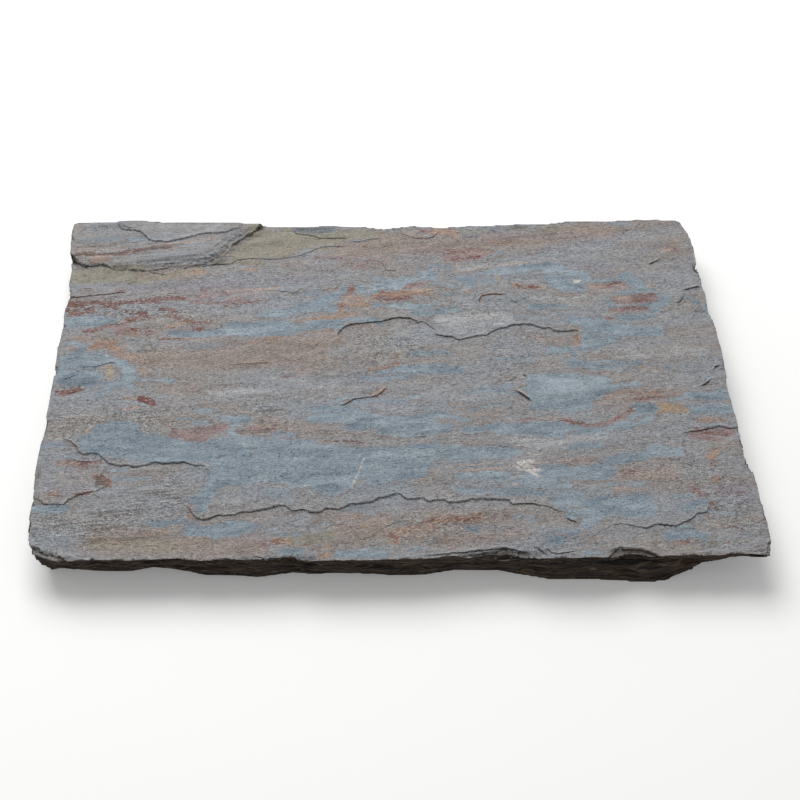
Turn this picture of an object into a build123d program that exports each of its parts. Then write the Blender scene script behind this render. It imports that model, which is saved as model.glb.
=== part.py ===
from build123d import *
import math
import os

# A riven slate stepping stone: one split slab, laid flat.
# The frame: +X along the front edge, +Y to the back edge, +Z up, origin under the middle of the slab.

# Overall sizes, in millimetres
slab_length = 600.0  # end to end, along the front edge
slab_depth = 400.0  # front edge to back edge
slab_thickness = 38.0  # underside to the main cleft face that is walked on

# The hammer-dressed edges
edge_setback = 20.0  # the deepest undercut of the foot behind the top arris
top_bed = 10.5  # thickness of the uppermost bed of stone, down to the first parting
middle_bed = 12.0  # thickness of the bed under it, down to the second parting
parting_height = 1.2  # height of the small step at each parting
parting_step = 1.0  # how far the stone below a parting stands back

# Cleavage layers on the walking face
ledge_height = 1.3  # one thin layer, missing in front of a ledge
tongue_height = 0.9  # the thin layer that ends in a tongue at the left edge
flake_thickness = 4.5  # the thick flake left standing at the back left corner
flake_batter = 3.0  # how far the flake's broken face slopes back
upper_flake_thickness = 1.5  # the thin layer on top of the flake
pocket_fade = 62.0  # over what length the middle pocket's floor rises to the face
corner_fade = 75.0  # the same, for the front right layer, which fades to both sides
ledge_end_fade = 62.0  # the same, for the right end of the low ground in front
ledge_start_fade = 42.0  # the same, for its left end
red_fade = 22.0  # the same, for the small layer at the right edge
spall_height = 1.8  # a thin spall along the front arris
deep_spall_height = 6.6  # the deeper bite inside a spall

# The broken lower corner at the front right
break_length = 84.0  # along the front edge
break_reach = 62.0  # back from the front edge
lip_thickness = 4.0  # the thin lip that still stands over the break
break_taper = 12.0  # degrees that the break closes in by, on every side

# Cleavage layers missing under the slab
underside_layer = 2.0
overrun = 12.0  # how far each cutting tool runs past the stone

# Points on the slab's plan are shares of its length and depth, counted from its middle
length_grid_shares = 600
depth_grid_shares = 400

# Each edge station: plan place of the top arris, then the shares of the undercut
# that the stone stands back by at the shoulder, the waist and the foot
back_left_shares = [(-308, 195, 0.05, 0.20, 0.50)]
left_edge_shares = [
    (-309, 180, 0.10, 0.25, 0.50),
    (-306.5, 161, 0.00, 0.10, 0.35),
    (-305, 148, 0.20, 0.35, 0.60),
    (-302.5, 130, 0.10, 0.30, 0.50),
    (-302, 113, 0.05, 0.20, 0.55),
    (-299, 97, 0.25, 0.40, 0.70),
    (-301, 78, 0.05, 0.20, 0.45),
    (-299.5, 54, 0.15, 0.30, 0.60),
    (-300.5, 30, 0.05, 0.15, 0.40),
    (-299, 3, 0.10, 0.35, 0.70),
    (-298.5, -28, 0.00, 0.20, 0.50),
    (-298, -52, 0.10, 0.25, 0.35),
    (-297, -66, 0.20, 0.40, 0.60),
    (-298.5, -95, 0.05, 0.20, 0.50),
    (-298, -118, 0.10, 0.30, 0.65),
    (-295.5, -145, 0.20, 0.35, 0.80),
    (-296, -159, 0.10, 0.20, 0.60),
    (-293.5, -182, 0.05, 0.25, 0.50),
]
front_left_shares = [(-288.5, -201, 0.10, 0.30, 0.70)]
front_edge_shares = [
    (-270, -206, 0.05, 0.30, 0.95),
    (-252, -207, 0.05, 0.30, 0.85),
    (-232, -205.5, 0.10, 0.20, 0.70),
    (-212, -206, 0.00, 0.20, 0.75),
    (-192, -205.5, 0.15, 0.36, 0.95),
    (-171, -204, 0.10, 0.15, 0.70),
    (-151, -206, 0.00, 0.10, 0.52),
    (-131, -204.5, 0.10, 0.05, 0.42),
    (-107, -205.5, 0.00, 0.00, 0.40),
    (-79, -203.5, 0.15, 0.15, 0.52),
    (-62, -206, 0.00, 0.20, 0.60),
    (-46, -206.5, 0.05, 0.20, 0.65),
    (-24, -206, 0.10, 0.10, 0.62),
    (6, -205.5, 0.00, 0.10, 0.50),
    (31, -204.5, 0.10, 0.10, 0.47),
    (55, -202.5, 0.05, 0.15, 0.62),
    (75, -203, 0.15, 0.20, 0.62),
    (92, -202, 0.00, 0.15, 0.57),
    (112, -203.5, 0.10, 0.10, 0.42),
    (136, -204, 0.00, 0.05, 0.20),
    (164, -203, 0.10, 0.00, 0.17),
    (184, -203, 0.05, 0.05, 0.10),
    (205, -202.5, 0.10, -0.10, 0.02),
    (221, -202, 0.05, -0.10, 0.00),
    (245, -200.5, 0.10, 0.00, 0.05),
    (268, -201, 0.05, 0.05, 0.10),
    (290, -200, 0.10, 0.10, 0.15),
]
front_right_shares = [(310.5, -201, 0.05, 0.15, 0.20)]
right_edge_shares = [
    (313, -186, 0.10, 0.20, 0.30),
    (313, -165, 0.00, 0.15, 0.35),
    (310.5, -145, 0.15, 0.25, 0.50),
    (309.5, -118, 0.05, 0.20, 0.40),
    (304, -99, 0.20, 0.35, 0.55),
    (305, -80, 0.05, 0.15, 0.50),
    (303.5, -56, 0.10, 0.30, 0.65),
    (302, -38, 0.00, 0.20, 0.45),
    (301, -14, 0.15, 0.25, 0.60),
    (303, 6, 0.05, 0.10, 0.40),
    (301.5, 38, 0.10, 0.30, 0.55),
    (300, 62, 0.00, 0.20, 0.70),
    (296.5, 78, 0.15, 0.35, 0.60),
    (297.5, 96, 0.05, 0.20, 0.45),
    (295, 112, 0.10, 0.25, 0.50),
    (296, 124, 0.00, 0.15, 0.65),
    (293.5, 138, 0.20, 0.35, 0.75),
    (294.5, 160, 0.05, 0.20, 0.50),
    (291.5, 184, 0.10, 0.25, 0.40),
]
back_right_shares = [(285, 203, 0.05, 0.20, 0.45)]
back_edge_shares = [
    (255, 205.5, 0.10, 0.20, 0.40),
    (228, 203.5, 0.00, 0.15, 0.55),
    (200, 202, 0.15, 0.30, 0.60),
    (174, 202, 0.05, 0.20, 0.45),
    (152, 198, 0.10, 0.35, 0.70),
    (132, 198.5, 0.00, 0.20, 0.50),
    (104, 196.5, 0.10, 0.25, 0.55),
    (72, 195, 0.05, 0.15, 0.40),
    (50, 193, 0.15, 0.30, 0.60),
    (22, 195.5, 0.00, 0.20, 0.50),
    (-6, 191, 0.20, 0.35, 0.70),
    (-24, 194, 0.05, 0.20, 0.45),
    (-60, 195.5, 0.10, 0.25, 0.50),
    (-92, 194, 0.00, 0.15, 0.60),
    (-122, 195, 0.10, 0.30, 0.55),
    (-160, 194.5, 0.05, 0.20, 0.40),
    (-214, 194, 0.15, 0.25, 0.50),
    (-242, 197, 0.00, 0.10, 0.45),
    (-276, 196, 0.10, 0.25, 0.60),
]

# The ledge of the wide middle layer, and round the low ground in front of it
front_ledge_shares = [
    (-262, -93.4),
    (-250, -93.8),
    (-239, -104.8),
    (-215, -107.8),
    (-203, -104.8),
    (-182, -102.8),
    (-161, -107.8),
    (-151, -115.8),
    (-159, -131.8),
    (-166, -148.8),
    (-162, -158.8),
    (-152, -164.3),
    (-139, -160.3),
    (-129, -160.3),
    (-117, -155.8),
    (-92, -149.8),
    (-86, -150.8),
    (-80, -155.8),
    (-60, -156.3),
    (-40, -153.3),
    (-28, -148.3),
    (-14, -145.3),
    (-7, -140.8),
    (6, -137.3),
    (18, -143.8),
    (30, -141.8),
    (36, -145.3),
    (48, -144.3),
    (54, -146.8),
    (70, -144.3),
    (97, -142.8),
    (104, -148.3),
    (104, -230),
    (-320, -230),
    (-320, -128),
    (-270, -112),
    (-262, -114),
]
# The left end of that low ground, where its floor rises to the face
ledge_start_shares = [
    (-320, -84),
    (-278, -79.3),
    (-267, -85.8),
    (-264, -93.3),
    (-262, -93.4),
    (-262, -114),
    (-270, -112),
    (-320, -128),
]
# Its right end, which rises in the same way
ledge_end_shares = [
    (104, -148.3),
    (106, -149.3),
    (122, -149.8),
    (147, -157.3),
    (157, -167.8),
    (172, -196),
    (176, -230),
    (104, -230),
]
# The middle pocket, whose floor rises towards the front
pocket_shares = [
    (-47, 46.2),
    (-44, 54.2),
    (-37, 59.7),
    (-18, 63.2),
    (-4, 65.2),
    (11, 70.2),
    (27, 65.7),
    (35, 61.2),
    (43, 51.2),
    (58, 45.2),
    (66, 42.2),
    (80, 47.2),
    (91, 49.7),
    (108, 58.2),
    (127, 62.7),
    (146, 57.2),
    (155, 53.7),
    (172, 55.2),
    (176, 48.2),
    (173, 37.2),
    (164, 23.2),
    (150, -12),
    (-20, -12),
    (-36, 14),
]
# The low ground at the front right
corner_layer_shares = [
    (150, -191.2),
    (160, -187.2),
    (172, -181.2),
    (188, -170.2),
    (199, -171.2),
    (210, -173.7),
    (222, -171.2),
    (237, -172.2),
    (247, -166.2),
    (257, -158.2),
    (266, -157.2),
    (272, -147.2),
    (340, -148),
    (340, -230),
    (150, -230),
]
# The red layer at the right edge
red_layer_shares = [
    (255, -71),
    (269, -66.5),
    (281, -63),
    (292, -62.5),
    (330, -66),
    (330, -100),
    (255, -100),
]
# The thin tongue in the low ground, at the left edge
tongue_shares = [
    (-320, -128),
    (-320, -143),
    (-293, -143),
    (-285, -149.5),
    (-271, -149),
    (-258, -138),
    (-246, -135.5),
    (-238, -129),
    (-246, -118),
    (-270, -112),
]
# The thick flake at the back left: the foot of its broken face
flake_foot_shares = [
    (-330, 152),
    (-303, 147),
    (-297, 140),
    (-286, 136.5),
    (-273, 141.5),
    (-262, 133),
    (-248, 134),
    (-228, 131.5),
    (-205, 135),
    (-188, 137),
    (-174, 140),
    (-163, 148),
    (-156, 159),
    (-151, 170),
    (-140, 180),
    (-130, 188),
    (-120, 198),
]
# How far the broken face slopes back at each of those points, as a share of its batter
flake_slope_share = [0.2, 0.2, 0.2, 0.2, 0.2, 0.3, 0.4, 0.7, 1, 1.3, 1.4, 1.3, 1.1, 1, 0.9, 0.8, 0.8]
# The thin layer on the flake
upper_flake_shares = [
    (-270, 215),
    (-266, 196.2),
    (-257, 186.2),
    (-242, 181.7),
    (-234, 173.7),
    (-227, 169.2),
    (-213, 169.2),
    (-198, 173.7),
    (-182, 178.2),
    (-160, 181.2),
    (-147, 189.2),
    (-140, 215),
]
# Spalls along the front arris: wide and thin, then the deeper bite inside each
spall_shares = [
    [(42, -203), (60, -199.5), (80, -197), (92, -195), (106, -197), (122, -201), (130, -230), (42, -230)],
    [(179, -201), (186, -195), (200, -193.5), (212, -195.5), (221, -200.5), (226, -230), (174, -230)],
    [(-299, -186), (-289, -192), (-278, -198), (-267, -200), (-249, -208), (-249, -230), (-320, -230)],
    [(-104, -207), (-96, -204), (-86, -202.5), (-76, -203), (-68, -206), (-66, -230), (-106, -230)],
]
deep_spall_shares = [
    [(62, -203), (84, -199.5), (98, -199), (112, -203), (112, -230), (62, -230)],
    [(188, -202), (194, -198.5), (206, -198.5), (214, -202), (214, -230), (188, -230)],
    [(-300, -194), (-284, -200), (-274, -205), (-266, -212), (-266, -230), (-320, -230)],
]
# The stepped rise of the break, along it and up it, as shares of its length and height
break_rise_shares = [(0, 0), (0.09, 0.16), (0.27, 0.48), (0.28, 0.62), (0.60, 0.94), (0.62, 1)]
# Where each fading floor is still one whole layer down
pocket_hinge_share = (60, 50)
corner_hinge_share = (230, -174)
ledge_end_hinge_share = (104, -160)
ledge_start_hinge_share = (-262, -100)
red_hinge_share = (290, -64)
# The flake's highest place, and its corners behind the slab's back edge
flake_summit_share = (-250, 190)
flake_behind_shares = [(-120, 230), (-330, 230)]
# Layers missing under the slab
underside_shares = [
    [(90, 230), (104, 150), (160, 118), (214, 70), (236, 12), (330, -6), (330, 230)],
    [(-330, -40), (-262, -58), (-236, -96), (-180, -118), (-150, -162), (-84, -230), (-330, -230)],
]

inward = {
    "left": (1.0, 0.0),
    "right": (-1.0, 0.0),
    "front": (0.0, 1.0),
    "back": (0.0, -1.0),
    "front_left": (math.sqrt(0.5), math.sqrt(0.5)),
    "front_right": (-math.sqrt(0.5), math.sqrt(0.5)),
    "back_left": (math.sqrt(0.5), -math.sqrt(0.5)),
    "back_right": (-math.sqrt(0.5), -math.sqrt(0.5)),
}


def on_plan(along_share, deep_share):
    """A point of the plan grid, in millimetres."""
    return (slab_length * along_share / length_grid_shares, slab_depth * deep_share / depth_grid_shares)


def plan_face(points, height):
    """A flat face with these corners, at this height."""
    corners = [(x, y, height) for x, y in points]
    return make_face(Polyline(*corners, close=True))


def edge_stations():
    """Every edge station in order round the slab, with the way inwards from it."""
    sides = [
        ("back_left", back_left_shares),
        ("left", left_edge_shares),
        ("front_left", front_left_shares),
        ("front", front_edge_shares),
        ("front_right", front_right_shares),
        ("right", right_edge_shares),
        ("back_right", back_right_shares),
        ("back", back_edge_shares),
    ]
    return [(inward[side], station) for side, rows in sides for station in rows]


def edge_outline(level, extra_setback):
    """The slab's outline at the arris, shoulder, waist or foot, and this much further in."""
    points = []
    for (way_x, way_y), (along, deep, shoulder, waist, foot) in edge_stations():
        undercut = {"arris": 0, "shoulder": shoulder, "waist": waist, "foot": foot}[level]
        setback = edge_setback * undercut + extra_setback
        x, y = on_plan(along, deep)
        points.append((x + way_x * setback, y + way_y * setback))
    return points


def dressed_slab():
    """The slab with its ragged, undercut edges and the two partings that run round it."""
    shoulder_height = slab_thickness - top_bed
    waist_height = shoulder_height - middle_bed
    levels = [
        (0, "foot", 0),
        (waist_height - parting_height, "waist", parting_step),
        (waist_height, "waist", 0),
        (shoulder_height - parting_height, "shoulder", parting_step),
        (shoulder_height, "shoulder", 0),
        (slab_thickness, "arris", 0),
    ]
    sections = [plan_face(edge_outline(level, extra), height) for height, level, extra in levels]
    return loft(sections, ruled=True)


def layer_prism(shares, floor, height):
    """An upright prism on a plan outline, from the floor's height up."""
    outline = plan_face([on_plan(*point) for point in shares], floor)
    return extrude(outline, amount=height, dir=(0, 0, 1))


def missing_layer(shares, depth):
    """The tool that takes a layer off the walking face, down to the cleavage plane below it."""
    return layer_prism(shares, slab_thickness - depth, depth + overrun)


def fading_layer(shares, depth, hinge_share, side, fade_length):
    """The same, with a floor that rises to the face as it runs from the hinge point to that side."""
    way_x, way_y = inward[side]
    hinge_x, hinge_y = on_plan(*hinge_share)
    hinge = Axis((hinge_x, hinge_y, slab_thickness - depth), (-way_y, way_x, 0))
    rise = math.degrees(math.atan2(depth, fade_length))
    return missing_layer(shares, depth).rotate(hinge, rise)


def stone_outline(floor, height):
    """The upright prism inside the slab's arris, which keeps added layers within the stone."""
    return extrude(plan_face(edge_outline("arris", 0), floor), amount=height, dir=(0, 0, 1))


def corner_flake():
    """The thick flake at the back left, with its sloping broken face, and the thin layer on it."""
    foot = [on_plan(*point) for point in flake_foot_shares]
    summit_x, summit_y = on_plan(*flake_summit_share)
    crest = []
    for (x, y), share in zip(foot, flake_slope_share):
        back = Vector(summit_x - x, summit_y - y).normalized() * (flake_batter * share)
        crest.append((x + back.X, y + back.Y))
    behind = [on_plan(*point) for point in flake_behind_shares]
    flake_top = slab_thickness + flake_thickness
    sections = [plan_face(foot + behind, slab_thickness), plan_face(crest + behind, flake_top)]
    flake = loft(sections, ruled=True)
    upper = layer_prism(upper_flake_shares, flake_top, upper_flake_thickness)
    height = flake_thickness + upper_flake_thickness
    return (flake + upper) & stone_outline(slab_thickness, height)


def corner_break():
    """The tool that breaks away the lower front right corner and leaves a thin lip."""
    corner_x, corner_y = on_plan(*front_right_shares[0][:2])
    start_x = corner_x - break_length
    rise = slab_thickness - lip_thickness
    reach = break_reach + overrun
    clear = overrun + reach * math.tan(math.radians(break_taper))
    steps = [(start_x + break_length * along, rise * up) for along, up in break_rise_shares]
    profile = [(start_x, -clear)] + steps + [(corner_x + clear, rise), (corner_x + clear, -clear)]
    face = make_face(Polyline(*[(x, corner_y - overrun, z) for x, z in profile], close=True))
    return extrude(face, amount=reach, dir=(0, 1, 0), taper=break_taper)


def stepping_stone():
    """The whole stone, in place over its origin."""
    stone = dressed_slab()
    stone += corner_flake()
    stone -= missing_layer(front_ledge_shares, ledge_height)
    step = ledge_height
    stone -= fading_layer(ledge_start_shares, step, ledge_start_hinge_share, "left", ledge_start_fade)
    stone -= fading_layer(ledge_end_shares, step, ledge_end_hinge_share, "right", ledge_end_fade)
    low_ground = slab_thickness - ledge_height
    stone += layer_prism(tongue_shares, low_ground, tongue_height) & stone_outline(low_ground, ledge_height)
    stone -= fading_layer(pocket_shares, ledge_height, pocket_hinge_share, "front", pocket_fade)
    corner = fading_layer(corner_layer_shares, ledge_height, corner_hinge_share, "right", corner_fade)
    corner &= fading_layer(corner_layer_shares, ledge_height, corner_hinge_share, "left", corner_fade)
    stone -= corner
    stone -= fading_layer(red_layer_shares, ledge_height, red_hinge_share, "front", red_fade)
    for shares in spall_shares:
        stone -= missing_layer(shares, ledge_height + spall_height)
    for shares in deep_spall_shares:
        stone -= missing_layer(shares, ledge_height + deep_spall_height)
    stone -= corner_break()
    for shares in underside_shares:
        stone -= layer_prism(shares, -overrun, overrun + underside_layer)
    middle = stone.bounding_box().center()
    return Pos(-middle.X, -middle.Y, 0) * stone


os.makedirs("parts", exist_ok=True)
export_step(stepping_stone(), "parts/slate_slab.step")
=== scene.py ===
import math

import bmesh
import bpy
import numpy as np
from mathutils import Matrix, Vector, kdtree, noise


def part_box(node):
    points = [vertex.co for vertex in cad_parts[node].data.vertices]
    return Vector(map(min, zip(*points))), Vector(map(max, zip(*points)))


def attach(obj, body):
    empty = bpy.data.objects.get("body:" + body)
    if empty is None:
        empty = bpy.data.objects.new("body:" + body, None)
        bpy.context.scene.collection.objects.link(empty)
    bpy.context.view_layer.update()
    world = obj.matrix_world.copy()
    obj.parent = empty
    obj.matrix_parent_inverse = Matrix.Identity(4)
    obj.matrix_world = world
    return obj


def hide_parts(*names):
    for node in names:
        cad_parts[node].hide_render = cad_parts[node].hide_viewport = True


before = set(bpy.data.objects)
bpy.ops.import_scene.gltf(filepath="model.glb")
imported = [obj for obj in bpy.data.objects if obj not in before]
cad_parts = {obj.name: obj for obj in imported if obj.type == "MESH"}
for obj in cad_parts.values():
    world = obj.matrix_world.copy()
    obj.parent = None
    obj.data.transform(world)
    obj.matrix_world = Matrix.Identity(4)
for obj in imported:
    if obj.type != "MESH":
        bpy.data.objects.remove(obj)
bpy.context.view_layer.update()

# A riven slate stepping stone. Places on the slab are read in millimetres on its plan:
# x to the right along the front edge, y to the back, from the middle of the slab.
mm = 0.001
slab = {
    "node": "slate_slab",
    "rightmost": 313.0,  # plan x of the arris that stands out most to the right
    "backmost": 205.5,  # plan y of the arris that stands out most at the back
    "face": 38.0,  # height of the walking face
    "flake": (40.5, 42.0),  # heights between which the back left flake starts
}
low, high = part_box(slab["node"])
planMiddle = Vector((high.x - slab["rightmost"] * mm, high.y - slab["backmost"] * mm, 0))
planOrigin = np.array(planMiddle) / mm


# Small helpers

def newObject(name, data):
    made = bpy.data.objects.new(name, data)
    bpy.context.scene.collection.objects.link(made)
    return made


def objectFrom(work, name):
    mesh = bpy.data.meshes.new(name)
    work.to_mesh(mesh)
    work.free()
    return newObject(name, mesh)


def linearColour(hexColour):
    # from sRGB to linear
    parts = [int(hexColour[i:i + 2], 16) / 255 for i in (1, 3, 5)]
    return [c / 12.92 if c <= 0.04045 else ((c + 0.055) / 1.055) ** 2.4 for c in parts] + [1.0]


def addNode(tree, kind, inputs=None, out=0, **settings):
    node = tree.nodes.new(kind)
    for name, value in settings.items():
        setattr(node, name, value)
    for name, value in (inputs or {}).items():
        if isinstance(value, bpy.types.NodeSocket):
            tree.links.new(value, node.inputs[name])
        else:
            node.inputs[name].default_value = value
    return node.outputs[out] if node.outputs else None


def smoothStep(start, end, values):
    t = np.clip((values - start) / (end - start), 0, 1)
    return t * t * (3 - 2 * t)


def stepped(values, start, end):
    # whole steps, each of which rises between start and end of its length
    return np.floor(values) + smoothStep(start, end, values - np.floor(values))


def spread(values, share):
    # values given from one end of a line to the other, read at a share of the way
    return np.interp(share, np.linspace(0, 1, len(values)), values)


def pointsOf(numbers):
    # x and y in turn become points
    return list(zip(numbers[0::2], numbers[1::2]))


# Camera: the photograph's viewing angle, a 69 mm lens looking down from the front

view = {
    "lens": 69.1,
    "sensor": 36.0,
    "downDegrees": 48.12,
    "place": (10.5, -937.9, 1008.4),  # from the middle of the walking face
}
camera = newObject("camera", bpy.data.cameras.new("camera"))
camera.data.lens = view["lens"]
camera.data.sensor_width = view["sensor"]
camera.location = planMiddle + Vector(view["place"]) * mm + Vector((0, 0, slab["face"] * mm))
camera.rotation_euler = (math.radians(90 - view["downDegrees"]), 0, 0)
bpy.context.scene.camera = camera
print("camera set")


# The stone's mesh: a merged copy of the CAD solid, remeshed evenly so that relief can be worked in

relief = {
    "voxel": 1.35,  # mm
    "grainTurn": 6.0,  # degrees that the grain rises to the right
    "swell": 0.5,  # broad rise and fall of the cleft face, mm
    "lamina": 0.25,  # height of one fine lamina on the face, mm
    "laminae": (5, 3),  # how many of them there are, and how many more on the flake
    "laminaRise": (0.40, 0.60),  # share of a lamina over which it rises to the next
    "grain": 0.12,  # fine ridges along the grain, mm
    "flakeSunk": 0.35,  # the flake is worn this much lower, so that it stays inside the solid, mm
    "stratum": 2.6,  # thickness of one stratum on the broken edges, mm
    "strataDepth": 2.6,  # how far a soft stratum stands back, mm
    "hollowDepth": 3.2,  # the same where a lump fell out, mm
    "crumbDepth": 0.5,  # the same for single crumbs, mm
    "plate": 1.7,  # thickness of the thin plates that chip off along the arris, mm
    "lowest": 9,  # ledge lines work on the mesh down to this far below the face, mm
    "reach": 30,  # a ledge lifts the face as far off as this, mm
    "fade": 8,  # how slowly that lift fades with distance, mm
    "ends": 6,  # each end of a ledge fades out over this length, mm
    "clear": 3,  # a worn step keeps this far off a ledge line, mm
    "pull": 3.6,  # the mesh is drawn in to a ledge line from this far, mm
    "probe": 2.9,  # where a ledge's own height is read, mm from its line
    "tallest": 5,  # a taller step than this isn't taken for the ledge's own, mm
    "arris": 0.9,  # what an even mesh rounds off the arris, mm
    "rounded": (2, 8),  # from here to here below the face that is put back less and less, mm
    "strataStart": (0.5, 5),  # from here to here below the face the strata deepen, mm
    "topUp": 0.3,  # how far a normal points up on what counts as the top
    "kept": 2.6,  # the mesh keeps its full fineness this near a ledge line, mm
    "underTop": 3.0,  # what lies lower counts as the underside when the mesh is thinned, mm
    "underTriangles": 9000,  # what the first thinning leaves for the underside
    "triangles": 190000,  # what the second leaves in all
    "sharpDegrees": 38,  # edges that turn more are shaded sharp
    # how far a normal points up, down or out where a treatment starts and where it is full; the broken
    # edge's own is full where it starts
    "faceUp": (0.55, 0.9), "edgeUp": (0.45, 0.8), "underDown": (0.6, 0.9), "frontOut": (0.3, 0.7),
    "arrisOut": (0.15, 0.5),
}
# noises: how strong, size along, across and upright in mm, octaves, shift
noises = {
    "raggedX": (0.75, 5.5, 4.5, 90, 3, 12.3),  # how far a ledge line wanders from its drawn points
    "raggedY": (0.75, 5.5, 4.5, 90, 3, 17.9),
    "rim": (0.35, 9, 6, 40, 3, 2.7),
    "plates": (0.28, 11, 7, 40, 3, 6.1),
    "swell": (1, 130, 55, 200, 2, 0),
    "laminae": (1, 75, 17, 60, 4, 3.7),
    "ridges": (1, 7, 2.4, 9, 3, 9.1),
    "underside": (0.5, 60, 40, 60, 2, 5.3),
    "strataWave": (2, 45, 45, 60, 2, 1.9),
    "strata": (1, 24, 24, 1, 3, 0.4),
    "hollows": (1, 30, 30, 9, 3, 7.7),
    "crumbs": (1, 5, 5, 2.2, 2, 2.2),
    "stainX": (5, 26, 9, 40, 3, 0.3),  # how far the stains wander from their strokes
    "stainFineX": (1.6, 5, 2.4, 9, 2, 8.3),
    "stainY": (2, 30, 12, 40, 3, 4.3),
    "stainFineY": (0.9, 6, 3, 9, 2, 6.3),
}


def noiseAt(points, name):
    strength, along, across, upright, octaves, shift = noises[name]
    scaled = points / np.array((along, across, upright)) + shift
    return strength * np.array([noise.fractal(Vector(p), 1.0, 2.0, octaves) for p in scaled.tolist()])


def applyModifiers(piece):
    bpy.context.view_layer.update()
    evaluated = piece.evaluated_get(bpy.context.evaluated_depsgraph_get())
    made = bpy.data.meshes.new_from_object(evaluated)
    piece.modifiers.clear()
    piece.data = made


def remeshedCopy(node, name):
    work = bmesh.new()
    work.from_mesh(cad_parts[node].data)
    bmesh.ops.remove_doubles(work, verts=work.verts, dist=0.01 * mm)
    bmesh.ops.recalc_face_normals(work, faces=work.faces)
    piece = objectFrom(work, name)
    remesh = piece.modifiers.new("remesh", "REMESH")
    remesh.mode = "VOXEL"
    remesh.voxel_size = relief["voxel"] * mm
    applyModifiers(piece)
    return piece


def planPoints(mesh):
    # the vertices in millimetres on the plan, with their heights
    points = np.zeros(len(mesh.vertices) * 3)
    mesh.vertices.foreach_get("co", points)
    return points.reshape(-1, 3) / mm - planOrigin


def putPoints(mesh, points):
    mesh.vertices.foreach_set("co", ((points + planOrigin) * mm).ravel())
    mesh.update()


def keepInBox(mesh):
    # nothing stands out of the solid's own box
    points = planPoints(mesh)
    putPoints(mesh, np.clip(points, (low - planMiddle) / mm, (high - planMiddle) / mm))


def vertexNormals(mesh):
    normals = np.zeros(len(mesh.vertices) * 3)
    mesh.vertex_normals.foreach_get("vector", normals)
    return normals.reshape(-1, 3)


def onFlake(points):
    return smoothStep(*slab["flake"], points[:, 2])


# Ledges of the cleft face, each from left to right, with the high side on the left of the way it runs:
# what scene adds to a step that isn't in the solid, mm; how dark its broken edge and the shadow painted at its foot
# are from end to end; how many times as broad as a thin line its dark line is from end to end; then x and y of its
# points.

flakeRim = (
    0, (1.4, 1.3, 0.6, 0.4, 0.35, 0.6, 1.1), (1.8, 1.7, 1.3, 1.2, 1.0, 1.0, 1.2, 1.4, 1.6, 2.0), -308, 154, -303, 149,
    -300, 146, -297, 140, -290, 137.5, -284, 137.5, -280, 139.5, -273, 141, -268, 137, -262, 133.5, -250, 134,
    -240, 132.5, -228, 131.5, -215, 134, -200, 135.5, -188, 137, -174, 140, -163, 148, -156, 159, -151, 170,
    -140, 180, -130, 188, -122, 197,
)
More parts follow.
